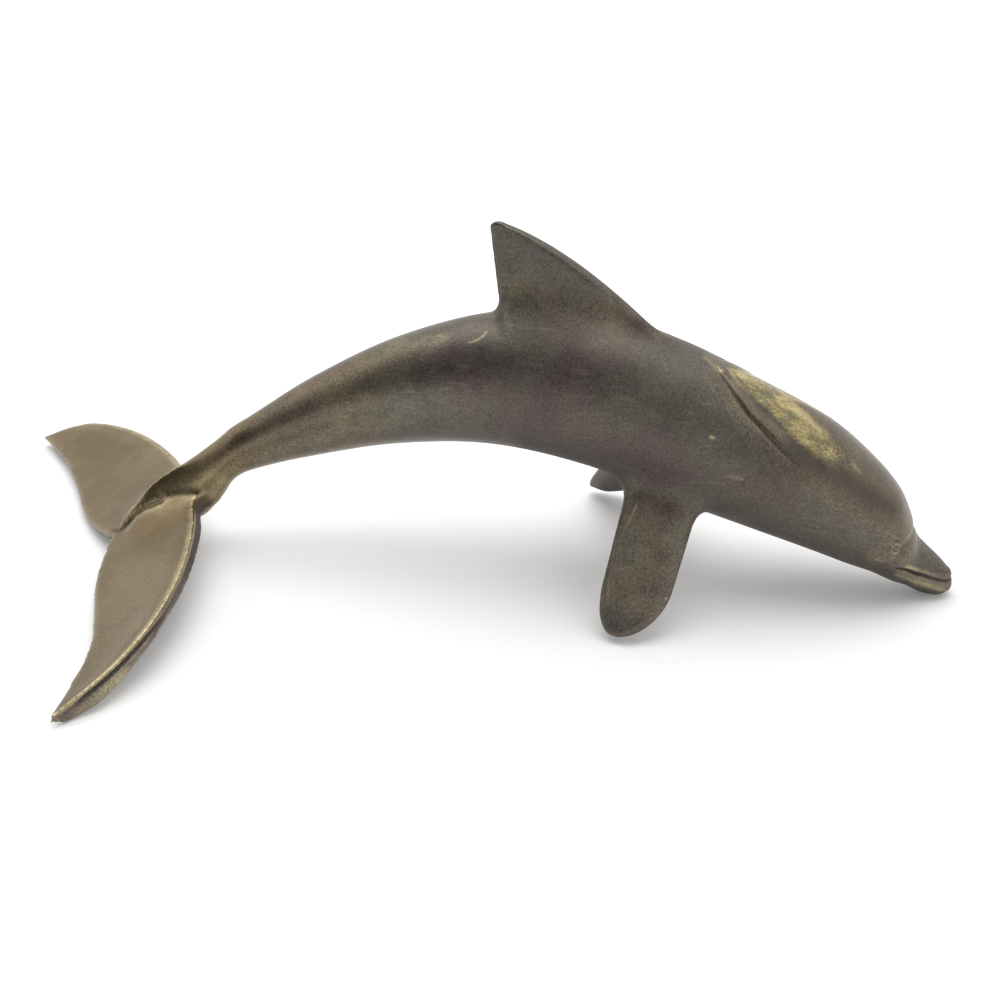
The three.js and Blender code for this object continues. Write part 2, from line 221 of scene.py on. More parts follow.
def bodyRings():
    s = bodySettings
    alongBody = np.arange(-0.5, s["keelEnd"], s["ringStep"])
    backs = np.concatenate([[-1.2, -1.05, -0.8], alongBody, [s["keelEnd"]]])
    ahead, length = s["beakClosing"]
    closing = roundOff(np.maximum((backs + ahead) / length, 0.02))
    angle = np.linspace(0, 2 * np.pi, s["around"], endpoint=False)
    rings = []
    for back, close in zip(backs, closing):
        ridge = smoothStep(s["keelRidgeStart"], s["keelRidgeStart"] + s["keelRidgeLength"], back)
        jaw = 1 - smoothStep(*s["jawEnd"], back)
        power = np.where(np.sin(angle) > 0, 2 / (2 + (s["keelRoundness"] - 2) * ridge),
                         2 / (2 + (s["jawRoundness"] - 2) * jaw))
        side = np.sign(np.cos(angle)) * np.abs(np.cos(angle)) ** power * bodySize(3, back) * close
        blunt = np.where(np.sin(angle) > 0, close, close ** s["jawTipBluntness"])
        up = np.sign(np.sin(angle)) * np.abs(np.sin(angle)) ** power * bodySize(2, back) * blunt
        heading = headingAt(back)
        rings.append(np.stack([-back - side * np.sin(heading), swingAt(back) + side * np.cos(heading),
                               bodySize(1, back) + up], axis=1))
    return np.array(rings)


def heightOverBody(points):
    # how far points in the drawing frame stand out of the plain body, along the line from its middle
    back = -points[:, 0]
    across = (points[:, 1] - swingAt(back)) / np.cos(headingAt(back))
    up = points[:, 2] - bodySize(1, back)
    ratio = np.sqrt((across / bodySize(3, back)) ** 2 + (up / bodySize(2, back)) ** 2)
    return (1 - 1 / np.maximum(ratio, 0.05)) * np.hypot(across, up)


# Plates: dorsal fin, flippers, flukes
filedFront = 0.3        # share of the thickness that the file leaves at a filed front edge
flatTaper = 0.35        # how much the flat of a plate thins on its way to the rear bevel


def plateProfile(count, lead, bevel, edge, filed=False):
    # share of the chord from the leading edge, and half thickness as a share of the whole
    share = (1 - np.cos(np.linspace(0, np.pi, count))) / 2
    if filed:
        front = filedFront + (1 - filedFront) * np.clip(share / lead, 0, 1)
    else:
        front = roundOff(share / lead)
    flat = 1 - flatTaper * np.clip((share - lead) / (bevel - lead), 0, 1)
    rear = 1 - (1 - edge) * np.clip((share - bevel) / (1 - bevel), 0, 1)
    return share, front * flat * rear


finSettings = {
    "tipHeight": 74.4, "rootHeight": 42, "rearBack": 93.2,
    "hook": 2.0, "hookDepth": 17,
    "chord": 27.0, "chordDepth": 16.7, "chordPower": 0.66,
    "rootThickness": 7.5, "tipThickness": 2.4,
    "tipRounding": 1.7, "tipBluntness": 0.08,
    "tipLength": 1.2,        # the tip rounds off over this height
    # where along the chord the flat of the plate ends, and how much thickness is left at the rear edge
    "flatEnd": 0.45, "rearEdge": 0.36,
    "rings": 60, "across": 48, "crowding": 1.6,      # the rings stand closer towards the tip
    "bevelWidth": 0.7,       # the narrow filed bevel along the leading edge
    "frontShare": 0.3, "frontThin": (-60, -80),      # it thins where it runs out on the back
}


def finRings():
    s = finSettings
    rings = []
    for along in np.linspace(0, 1, s["rings"]):
        drop = (s["tipHeight"] - s["rootHeight"]) * (1 - along) ** s["crowding"] + s["tipBluntness"]
        chord = s["chord"] * (drop / s["chordDepth"]) ** s["chordPower"]
        hook = s["hook"] * max(1 - drop / s["hookDepth"], 0)
        rear = -s["rearBack"] - hook + s["tipRounding"] * max(1 - drop, 0) ** 2
        share = drop / (s["tipHeight"] - s["rootHeight"])
        thickness = s["tipThickness"] + (s["rootThickness"] - s["tipThickness"]) * share
        thickness *= roundOff(drop / s["tipLength"], 0.05)
        bevel = min(s["bevelWidth"] / chord, 0.4)
        u, half = plateProfile(s["across"], bevel, s["flatEnd"], s["rearEdge"], filed=True)
        x = rear + chord * (1 - u)
        z = np.full_like(x, s["tipHeight"] - drop)
        y = half * thickness / 2 * (s["frontShare"] + (1 - s["frontShare"]) * smoothStep(*s["frontThin"], x))
        right = np.stack([x, -y, z], axis=1)
        left = np.stack([x, y, z], axis=1)[::-1]
        rings.append(np.concatenate([right, left]))
    return np.array(rings)


flipperSettings = {
    "rootBack": 57.5, "rootSide": 7, "rootHeight": 25, "length": 33.5, "droop": 44.3,
    "chord": 15.3, "tipChord": 13.4, "tipRounding": 0.3,
    "tipBack": {-1: 0.25, 1: 0.85},      # how much more the front corner is rounded off, right and left
    "thickness": 6.0, "tipThickness": 3.0, "tipLength": 1.3,
    # share of the chord that is rounded in front, and how much thickness is left at the rear edge
    "roundedFront": 0.34, "rearEdge": 0.35,
    "sweep": {-1: 5.6, 1: 14.2}, "sweepPower": {-1: 1.0, 1: 0.7},
    "rings": 60, "across": 44, "crowding": 1.4,
    "bevelWidth": 1.9,       # the filed bevel along the rear edge
}


def flipperFrame(sign, backward, outward, lift):
    s = flipperSettings
    droop = radians(s["droop"])
    return np.stack([
        -s["rootBack"] - backward,
        sign * (s["rootSide"] + outward * np.cos(droop) + lift * np.sin(droop)),
        s["rootHeight"] - outward * np.sin(droop) + lift * np.cos(droop)], axis=-1)


def flipperRings(sign):
    s = flipperSettings
    rings = []
    for along in np.linspace(0, 1, s["rings"]):
        reach = 1 - (1 - along) ** s["crowding"]
        fullChord = s["chord"] + (s["tipChord"] - s["chord"]) * reach
        chord = fullChord * roundOff((1 - reach) / s["tipRounding"], 0.003)
        thickness = s["thickness"] + (s["tipThickness"] - s["thickness"]) * reach
        thickness *= roundOff((1 - reach) * s["length"] / s["tipLength"], 0.05)
        bevel = 1 - min(s["bevelWidth"] / chord, 0.5)
        u, half = plateProfile(s["across"], s["roundedFront"], bevel, s["rearEdge"])
        backward = s["sweep"][sign] * reach ** s["sweepPower"][sign] + chord * (u - 0.5)
        backward += s["tipBack"][sign] * (fullChord - chord) / 2
        outward = np.full_like(u, reach * s["length"])
        top = flipperFrame(sign, backward, outward, half * thickness / 2)
        under = flipperFrame(sign, backward, outward, -half * thickness / 2)[::-1]
        rings.append(np.concatenate([top, under[:-1]]))
    return np.array(rings)


flukeSettings = {
    "back": 159, "height": 12.5, "yaw": 25.5, "pitch": 26,
    "span": {-1: 62.2, 1: 57.8},  # from the middle to each tip, the right lobe is the longer one
    "plan": 61,                  # the span that the curves of the plan are drawn for
    # leading edge
    "sweep": 22.2, "sweepPower": 2, "tipSweep": {-1: 11, 1: 8}, "tipSweepPower": 8,
    "heel": [(0, 4.2), (3, 3.4), (4, 1.6), (5, 0.6), (7, 0)],      # outward, how far it runs forward
    # trailing edge
    "width": {-1: 24.6, 1: 25.5}, "trailSweep": {-1: 9.2, 1: 8}, "trailPower": 3,
    "trailEase": {-1: 1.1, 1: 0.2}, "trailEaseAt": 41, "trailEaseReach": 9,
    "notchDepth": 5.6, "notchWidth": 21,
    "tipRounding": 4.2, "tipChord": 1.0,
    "tipRise": 4.7, "tipRisePower": 2.4,
    "topLift": 0.75,             # the upper face above the middle of the plate
    "dish": 0.5,                 # how far the upper face is hollowed
    "rollDepth": {-1: 0.6, 1: 1.3}, "rollWidth": 5,      # it rolls over towards the leading edge
    # the wall under the leading edge: outward, height
    "wall": [(0, 3.9), (10, 3.5), (22, 2.9), (42, 2.5), (50, 2.7), (57, 3.6), (62, 3.8)],
    "trailWall": 1.5,
    "tipWall": 1.3, "tipWallSlope": 1.2,      # height at the very tip, and how fast it grows from there
    "belly": 1.1,
    # the plate swells up to the keel: height, backward from where to where, and how far outward it dies away
    "crest": 3.2, "crestRise": (-6, 10), "crestFall": (18, 11), "crestReach": 6.5,
    "tipNose": 2.2,              # the plate is rounded off over this length at the tip
    "rings": 110, "across": 44, "crowding": 1.35,
}


def flukeFrame(sign, backward, outward, lift):
    s = flukeSettings
    pitch, yaw = radians(-s["pitch"]), radians(s["yaw"])
    x, y, z = -backward, sign * outward, lift
    x, z = x * np.cos(pitch) + z * np.sin(pitch), -x * np.sin(pitch) + z * np.cos(pitch)
    x, y = x * np.cos(yaw) - y * np.sin(yaw), x * np.sin(yaw) + y * np.cos(yaw)
    return np.stack([x - s["back"], y + float(swingAt(s["back"])), z + s["height"]], axis=-1)


def flukeEdges(sign, outward):
    # how far behind the root the leading and the trailing edge lie, at a distance out from the middle
    s = flukeSettings
    share = outward / s["plan"]
    span = s["span"][sign]
    leading = s["sweep"] * share ** s["sweepPower"] + s["tipSweep"][sign] * share ** s["tipSweepPower"]
    places, depths = zip(*s["heel"])
    leading = leading - np.interp(outward, places, depths)
    trailing = s["width"][sign] + s["trailSweep"][sign] * share ** s["trailPower"]
    trailing -= s["notchDepth"] * np.maximum(1 - outward / s["notchWidth"], 0) ** 2
    trailing -= s["trailEase"][sign] * bump(outward, s["trailEaseAt"], s["trailEaseReach"])
    tip = np.clip((outward - span) / s["tipRounding"] + 1, 0, 1)
    closing = 1 - np.sqrt(1 - tip * tip)
    leading += (trailing - s["tipChord"] - leading) * closing
    return leading, trailing


def flukeWall(outward):
    places, heights = zip(*flukeSettings["wall"])
    return np.interp(outward, places, heights)


def flukeTop(sign, backward, outward):
    # the upper face over the plane of the plate
    s = flukeSettings
    leading, trailing = flukeEdges(sign, outward)
    chord = trailing - leading
    share = np.clip((backward - leading) / chord, 0, 1)
    shrink = np.minimum(chord / 10, 1)
    top = s["topLift"] + s["tipRise"] * (outward / s["plan"]) ** s["tipRisePower"]
    top = top - s["dish"] * shrink * np.sin(np.pi * share) ** 0.8
    top = top - s["rollDepth"][sign] * shrink * np.clip(1 - (backward - leading) / s["rollWidth"], 0, 1) ** 2
    crest = s["crest"] * smoothStep(*s["crestRise"], backward)
    crest = crest * (1 - smoothStep(*s["crestFall"][::-1], backward))
    return top + crest * bump(outward, 0, s["crestReach"])


def flukeRings(sign):
    s = flukeSettings
    rings = []
    for along in np.linspace(0, 1, s["rings"]):
        out = (1 - (1 - along) ** s["crowding"]) * s["span"][sign]
        leading, trailing = flukeEdges(sign, out)
        u = (1 - np.cos(np.linspace(0, np.pi, s["across"]))) / 2
        backward = leading + u * (trailing - leading)
        outward = np.full_like(u, out)
        top = flukeTop(sign, backward, outward)
        wall = min(flukeWall(out), s["tipWall"] + (s["span"][sign] - out) * s["tipWallSlope"])
        depth = wall * (1 - u) + s["trailWall"] * u
        depth = depth + s["belly"] * min((trailing - leading) / 10, 1) * np.sin(np.pi * u)
        nose = roundOff((s["span"][sign] - out) / s["tipNose"], 0.2)
        middle = top - depth / 2
        upper = flukeFrame(sign, backward, outward, middle + depth * nose / 2)
        lower = flukeFrame(sign, backward, outward, middle - depth * nose / 2)[::-1]
        rings.append(np.concatenate([upper, lower]))
    return np.array(rings)


# One skin
skinSettings = {
    "voxel": 0.36,              # millimetres
    "evenOut": 5,               # light smoothing turns over the whole skin
    "filletTurns": 6,
    # how far from the join, in millimetres, the metal starts to run from each limb into the body
    "fillet": {"dorsalFinForm": 7.5, "rightFlipperForm": 5.5, "leftFlipperForm": 5.5,
               "rightFlukeForm": 1.4, "leftFlukeForm": 1.4},
    "finFilletStart": (-62, -82),    # along the back: tight in front, whole behind
    "finFilletFront": 0.35,
    "finFilletEnd": (-90, -93.5),    # it tightens towards the rear edge of the fin
    "finFilletRear": 0.5,            # share of the reach that is left there
    "filletLeast": 0.2,              # where the reach is less than this, nothing is moved
    "filletMoves": 5, "filletStep": 0.9,
}

bodyForm = loft("bodyForm", bodyRings())
limbRings = {
    "dorsalFinForm": finRings(),
    "rightFlipperForm": flipperRings(-1), "leftFlipperForm": flipperRings(1),
    "rightFlukeForm": flukeRings(-1), "leftFlukeForm": flukeRings(1),
}
limbs = {name: loft(name, rings) for name, rings in limbRings.items()}
print("forms lofted")


def treeOf(piece):
    mesh = piece.data
    return BVHTree.FromPolygons([v.co for v in mesh.vertices], [p.vertices for p in mesh.polygons])


def bakeModifiers(piece):
    depsgraph = bpy.context.evaluated_depsgraph_get()
    mesh = bpy.data.meshes.new_from_object(piece.evaluated_get(depsgraph))
    piece.modifiers.clear()
    piece.data = mesh


def evenOut(piece, turns, group=""):
    even = piece.modifiers.new("evenOut", "SMOOTH")
    even.iterations = turns
    even.vertex_group = group
    bpy.context.view_layer.update()
    bakeModifiers(piece)


def fuse(forms):
    work = bmesh.new()
    for form in forms:
        work.from_mesh(form.data)
    together = bpy.data.meshes.new("formsTogether")
    work.to_mesh(together)
    work.free()
    drawn = bpy.data.objects.new("formsTogether", together)
    skin = bpy.data.objects.new("skin", together.copy())
    scene.collection.objects.link(drawn)
    scene.collection.objects.link(skin)
    remesh = skin.modifiers.new("oneSkin", "REMESH")
    remesh.mode = "VOXEL"
    remesh.voxel_size = skinSettings["voxel"] * mm
    # back on the drawn forms, without the steps of the voxels
    lay = skin.modifiers.new("layBack", "SHRINKWRAP")
    lay.target = drawn
    evenOut(skin, skinSettings["evenOut"])
    bpy.data.objects.remove(drawn)
    return skin


def signedDistance(tree, point, reach):
    # distance to a form, negative inside it, and the way out of it
    near, normal, _, distance = tree.find_nearest(point, reach)
    if near is None:
        return None
    away = point - near
    sign = 1 if away.dot(normal) >= 0 else -1
    way = away * (sign / distance) if distance > 1e-7 else normal
    return sign * distance, way


def filletShare(name, place):
    if name != "dorsalFinForm":
        return 1.0
    s = skinSettings
    x = place.x / mm - drawingOrigin[0]
    front = smoothStep(*s["finFilletStart"][::-1], x)
    rear = 1 - smoothStep(*s["finFilletEnd"][::-1], x)
    return float(1 - front * (1 - s["finFilletFront"])) * float(1 - rear * (1 - s["finFilletRear"]))


def fillet(skin):
    # the metal runs in a soft fillet from each limb into the body
    trees = {name: treeOf(form) for name, form in limbs.items()}
    bodyTree = treeOf(bodyForm)
    group = skin.vertex_groups.new(name="fillet")
    for name, blend in skinSettings["fillet"].items():
        blend *= mm
        low = Vector([min(c[i] for c in limbs[name].bound_box) - blend for i in range(3)])
        high = Vector([max(c[i] for c in limbs[name].bound_box) + blend for i in range(3)])
        for vertex in skin.data.vertices:
            place = vertex.co.copy()
            if any(place[i] < low[i] or place[i] > high[i] for i in range(3)):
                continue
            reach = blend * filletShare(name, place)
            if reach < skinSettings["filletLeast"] * mm:
                continue
            moved = False
            for _ in range(skinSettings["filletMoves"]):
                body = signedDistance(bodyTree, place, 2 * reach)
                limb = signedDistance(trees[name], place, 2 * reach)
                if body is None or limb is None or abs(body[0] - limb[0]) >= reach:
                    break
                near = (reach - abs(body[0] - limb[0])) / reach
                level = min(body[0], limb[0]) - near * near * reach / 4
                share = 0.5 + 0.5 * (limb[0] - body[0]) / reach     # 1 where the body is nearer
                way = body[1] * share + limb[1] * (1 - share)
                place -= way.normalized() * level * skinSettings["filletStep"]
                moved = True
            if moved:
                vertex.co = place
                group.add([vertex.index], 1.0, "REPLACE")
    evenOut(skin, skinSettings["filletTurns"], group="fillet")
    skin.vertex_groups.clear()


skin = fuse([bodyForm, *limbs.values()])
print("skin fused", len(skin.data.vertices))
fillet(skin)
print("fillets made")
for form in (bodyForm, *limbs.values()):
    bpy.data.objects.remove(form)

# Chasing: what was cut and punched into the skin
headSettings = {
    "fineBefore": -18, "fineCuts": 1, "fineTurns": 8,      # the skin is made finer in front of this x
    "margin": 4,                # the chasing reaches this much further back
    # the mouth, seen from the side: x and z from the corner to the tip
    "mouth": [(-10.9, 9.05), (-9.7, 8.85), (-8.4, 8.45), (-5.8, 6.85), (-2.95, 5.4), (-0.15, 4.2),
              (2.4, 3.9)],
    "mouthDepth": 0.7, "mouthHalfWidth": 0.3, "mouthStart": (-12.2, -10.6),
    "mouthTipShare": 0.5, "mouthTipFrom": (0.3, 0.6),       # it is cut shallower towards the tip
    "cornerDepth": 0.5, "cornerHalfWidth": 0.55, "cornerAt": (-8.8, 1.6),
    "lipRise": 0.9, "lipHeight": 0.22, "lipHalfWidth": 0.5, "lipStart": (-10.5, -7.5),
    "jawTip": (0.6, 1.2), "jawTipPush": 0.55, "jawTipReach": 1.7,
    "jawRim": [(-11.5, 7.6), (-8.8, 6.35), (-5.9, 4.8), (-3.1, 3.45), (-0.3, 2.2), (2.2, 1.7)],
    "jawRimStart": (-12, -9),
    # the fold between melon and beak, x, distance from the middle and z
    "fold": [(-7.4, 0, 14.3), (-7.7, 2.9, 14.4), (-8.4, 5.3, 14.4), (-9.3, 7.2, 14.1), (-9.8, 8.2, 13.3),
             (-10.6, 8.9, 12.2), (-11.2, 9.0, 11.0)],
    "foldDepth": 0.7, "foldHalfWidth": 1.0, "foldFade": 0.6, "foldFadeFrom": (0.75, 1),
    # a raised ring round the eye, with a dent inside it and a shallow moat outside: depth, distance, reach
    "eye": (-11.55, 9.2, 14.4), "eyeRadius": 1.05, "eyeRing": 0.24, "eyeRingHeight": 0.15,
    "eyeDents": [(0.09, 0.45, 0.3), (0.06, 1.6, 0.35)],
    # the short raised line behind the corner of the mouth
    "tick": [(-15.3, 9.8, 11.9), (-13.4, 9.45, 11.05)], "tickHeight": 0.16, "tickHalfWidth": 0.32,
    # casting pits and grains of sand about the eye, two pits for each grain
    "pitMiddle": (-13.2, 9.4, 14.2), "pitReach": 3.4, "pitSpread": (1, 0.2, 0.9),
    "pitCount": 70, "pitDepth": 0.07, "pitRadius": (0.22, 0.5), "pitOrGrain": (-1, -1, 0.8),
}
neckSettings = {
    "within": (-58, -24), "lowest": 24,     # x and height between which the neck is chased
    # the joint of the crown cap: x, distance from the middle and z
    "crease": [(-52.4, 0, 50.1), (-51.2, 1.0, 49.5), (-49.7, 2.1, 48.4), (-48.2, 4.0, 47.0),
               (-45.5, 6.8, 44.2), (-42.7, 8.7, 41.25), (-39, 9.85, 38.0), (-36.4, 10.6, 35.6),
               (-34, 11.1, 33.5), (-30.5, 11.4, 30.7)],
    # the whole joint seen from the side, x and z
    "joint": [(-52.4, 50.1), (-48.2, 47.0), (-45.5, 44.2), (-42.7, 41.25), (-39, 38), (-34, 33.5),
              (-30.5, 30.7), (-24, 26.4), (-16, 20.9), (-10, 16.6), (-7.4, 14.8)],
    "creaseDepth": 0.4, "creaseHalfWidth": 0.26, "creaseFade": (0.72, 1.0),
    "lipAt": 1.5, "lipHeight": 0.18, "lipHalfWidth": 1.0,
    "lipCrestShare": 0.2, "lipCrestEnd": (0.1, 0.4),        # the lip is low where it crosses the crest
    "valleyAt": 3.5, "valleyDepth": 0.14, "valleyHalfWidth": 0.6, "valleyFade": (0.85, 1),
}
flukeDetail = {
    "behind": -138,                # x behind which the chasing begins
    "rimHeight": 0.14, "rimHalfWidth": 0.9, "rimInset": 0.5,
    "topToWall": (0.3, 0.9),       # depth below the upper face at which the wall under the rim begins
    "wallWithin": (1.3, 0.6), "wallBelow": 0.2,      # how far behind the edge and how deep it is chased
    # the groove cut along the wall towards the tip, and the bulge under it
    "grooveStart": (40, 49), "grooveDrop": 1.25, "grooveDepth": 0.8, "grooveHalfWidth": 0.42,
    "footDrop": 3.3, "footBulge": 0.45, "footHalfWidth": 1.1,
    # where the edges are rounded off, and the part of a lobe that this is kept to
    "softBelow": 1.9, "softTip": 3.0, "softTrail": 0.8, "softTurns": 12,
    "softOut": 5, "softBack": -4, "softDeep": 8,
    "rootFade": (5, 9), "tipFade": (5, 2.5),       # the chasing fades out at the root and before the very tip
    # the crisp line along the foot of the keel: backward and outward on the plate
    "keelLine": [(-4, 3.4), (0, 3.2), (4, 2.6), (7.5, 1.9), (11, 1.0)],
}


def refineHead(skin):
    work = bmesh.new()
    work.from_mesh(skin.data)
    limit = toRow((headSettings["fineBefore"], 0, 0))[0]
    edges = [e for e in work.edges if all(v.co.x > limit for v in e.verts)]
    bmesh.ops.subdivide_edges(work, edges=edges, cuts=headSettings["fineCuts"], use_grid_fill=True)
    work.to_mesh(skin.data)
    work.free()
    group = skin.vertex_groups.new(name="head")
    group.add([v.index for v in skin.data.vertices if v.co.x > limit], 1.0, "REPLACE")
    evenOut(skin, headSettings["fineTurns"], group="head")
    skin.vertex_groups.clear()


def sideOn(points):
    # both sides at once: y becomes the distance from the middle
    folded = points.copy()
    folded[:, 1] = np.abs(folded[:, 1])
    return folded


def chaseHead(points):
    s = headSettings
    move = np.zeros(len(points))
    near = np.nonzero(points[:, 0] > s["fineBefore"] - s["margin"])[0]
    p = sideOn(points[near])
    m = np.zeros(len(near))

    # mouth, lip above it and rim of the jaw below
    gap, along = pathDistance(p[:, [0, 2]], s["mouth"])
    places, heights = zip(*s["mouth"])
    above = p[:, 2] - np.interp(p[:, 0], places, heights)
    shallow = 1 - (1 - s["mouthTipShare"]) * smoothStep(*s["mouthTipFrom"], along)
    m -= s["mouthDepth"] * shallow * bump(gap, 0, s["mouthHalfWidth"]) * smoothStep(*s["mouthStart"], p[:, 0])
    m -= s["cornerDepth"] * bump(gap, 0, s["cornerHalfWidth"]) * bump(p[:, 0], *s["cornerAt"])
    lip = bump(above, s["lipRise"], s["lipHalfWidth"])
    m += s["lipHeight"] * lip * smoothStep(*s["lipStart"], p[:, 0])
    gap, _ = pathDistance(p[:, [0, 2]], s["jawRim"])
    m += s["lipHeight"] * bump(gap, 0, s["lipHalfWidth"]) * smoothStep(*s["jawRimStart"], p[:, 0])

    # fold, eye, tip of the jaw and the short line behind the mouth
    gap, along = pathDistance(p, s["fold"])
    fade = 1 - s["foldFade"] * smoothStep(*s["foldFadeFrom"], along)
    m -= s["foldDepth"] * bump(gap, 0, s["foldHalfWidth"]) * fade
    gap = np.linalg.norm(p - np.array(s["eye"]), axis=1)
    m += s["eyeRingHeight"] * bump(gap, s["eyeRadius"], s["eyeRing"])
    for depth, distance, reach in s["eyeDents"]:
        m -= depth * bump(gap, distance, reach)
    gap = np.hypot(p[:, 0] - s["jawTip"][0], p[:, 2] - s["jawTip"][1])
    m += s["jawTipPush"] * bump(gap, 0, s["jawTipReach"])
    gap, _ = pathDistance(p, s["tick"])
    m += s["tickHeight"] * bump(gap, 0, s["tickHalfWidth"])

    dice = np.random.default_rng(5)
    for _ in range(s["pitCount"]):
        middle = np.array(s["pitMiddle"]) + dice.normal(0, s["pitReach"] / 2, 3) * s["pitSpread"]
        radius = dice.uniform(*s["pitRadius"])
        depth = s["pitDepth"] * dice.choice(s["pitOrGrain"])
        across = np.hypot(p[:, 0] - middle[0], p[:, 2] - middle[2])
        m += depth * bump(across, 0, radius)
    move[near] = m
    return move


def aboveJoint(drawn):
    # height over the joint of the crown cap, far below nought behind it
    places, heights = zip(*neckSettings["joint"])
    return drawn[:, 2] - np.interp(drawn[:, 0], places, heights, left=99)


def chaseNeck(points):
    s = neckSettings
    move = np.zeros(len(points))
    rear, front = s["within"]
    near = np.nonzero((points[:, 0] > rear) & (points[:, 0] < front) & (points[:, 2] > s["lowest"]))[0]
    p = sideOn(points[near])
    gap, along = pathDistance(p, s["crease"])
    onCrown = aboveJoint(p) > 0
    gap *= np.where(onCrown, 1, -1)
    fade = 1 - smoothStep(*s["creaseFade"], along)
    m = -s["creaseDepth"] * bump(gap, 0, s["creaseHalfWidth"]) * fade
    crest = s["lipCrestShare"] + (1 - s["lipCrestShare"]) * smoothStep(*s["lipCrestEnd"], along)
    m += s["lipHeight"] * bump(gap, s["lipAt"], s["lipHalfWidth"]) * fade * (gap > 0) * crest
    valley = bump(gap, s["valleyAt"], s["valleyHalfWidth"]) * (gap > 0)
    m -= s["valleyDepth"] * valley * (1 - smoothStep(*s["valleyFade"], along))
    move[near] = m
    return move


def flukeCoordinates(points):
    # places on the plate of the flukes: backward, outward to either side, and lift over its plane
    s = flukeSettings
    pitch, yaw = radians(-s["pitch"]), radians(s["yaw"])
    p = points - np.array([-s["back"], float(swingAt(s["back"])), s["height"]])
    x, y, z = p.T
    x, y = x * np.cos(yaw) + y * np.sin(yaw), -x * np.sin(yaw) + y * np.cos(yaw)
    x, z = x * np.cos(pitch) - z * np.sin(pitch), x * np.sin(pitch) + z * np.cos(pitch)
    return -x, y, z


def chaseFlukes(points):
    d = flukeDetail
    move = np.zeros(len(points))
    near = np.nonzero(points[:, 0] < d["behind"])[0]
    backward, side, lift = flukeCoordinates(points[near])
    m = np.zeros(len(near))
    for sign in (-1, 1):
        lobe = np.nonzero(side * sign > 0)[0]
        span = flukeSettings["span"][sign]
        outward = np.minimum(side[lobe] * sign, span)
        leading, _ = flukeEdges(sign, outward)
        back = backward[lobe] - leading
        drop = flukeTop(sign, backward[lobe], outward) - lift[lobe]
        fade = smoothStep(*d["tipFade"][::-1], span - outward) * smoothStep(*d["rootFade"], outward)
        onTop = smoothStep(*d["topToWall"][::-1], drop)
        rim = d["rimHeight"] * bump(back, d["rimInset"], d["rimHalfWidth"]) * onTop
        onWall = smoothStep(*d["wallWithin"], back) * (drop > d["wallBelow"])
        onWall = onWall * smoothStep(*d["grooveStart"], outward)
        groove = d["grooveDepth"] * bump(drop, d["grooveDrop"], d["grooveHalfWidth"]) * onWall
        foot = d["footBulge"] * bump(drop, d["footDrop"], d["footHalfWidth"]) * onWall
        m[lobe] = (rim - groove + foot) * fade
    move[near] = m
    return move


def softenFlukes(skin):
    # the foot of the walls, the trailing edges and the tips are rounded off
    d = flukeDetail
    backward, side, lift = flukeCoordinates(toDrawing(meshPoints(skin.data)))
    chosen = np.zeros(len(side), bool)
    for sign in (-1, 1):
        span = flukeSettings["span"][sign]
        outward = np.clip(side * sign, 0, span)
        drop = flukeTop(sign, backward, outward) - lift
        onLobe = (side * sign > d["softOut"]) & (backward > d["softBack"]) & (drop < d["softDeep"])
        _, trailing = flukeEdges(sign, outward)
        edge = (outward > span - d["softTip"]) | (backward > trailing - d["softTrail"])
        chosen |= onLobe & (edge | (drop > d["softBelow"]))
    group = skin.vertex_groups.new(name="soft")
    group.add(np.nonzero(chosen)[0].tolist(), 1.0, "REPLACE")
    evenOut(skin, d["softTurns"], group="soft")
    skin.vertex_groups.clear()


def chase(skin):
    points = meshPoints(skin.data)
    drawn = toDrawing(points)
    move = chaseHead(drawn) + chaseNeck(drawn) + chaseFlukes(drawn)
    points += meshNormals(skin.data) * move[:, None] * mm
    points[:, 2] = np.maximum(points[:, 2], 0)      # ground flat where it stands on the table
    setPoints(skin.data, points)


refineHead(skin)
softenFlukes(skin)
chase(skin)
print("skin chased", len(skin.data.vertices))

# Wear maps kept on the skin, with painted light and painted shade among them


def evenValues(mesh, values, turns):
    edges = np.empty(len(mesh.edges) * 2, np.int32)
    mesh.edges.foreach_get("vertices", edges)
    a, b = edges.reshape(-1, 2).T
    count = np.bincount(a, minlength=len(values)) + np.bincount(b, minlength=len(values))
    for _ in range(turns):
        total = np.bincount(a, values[b], len(values)) + np.bincount(b, values[a], len(values))
        values = 0.5 * values + 0.5 * total / count
    return values


def keepMap(mesh, name, values):
    layer = mesh.attributes.new(name, "FLOAT", "POINT")
    layer.data.foreach_set("value", values.astype(np.float32))


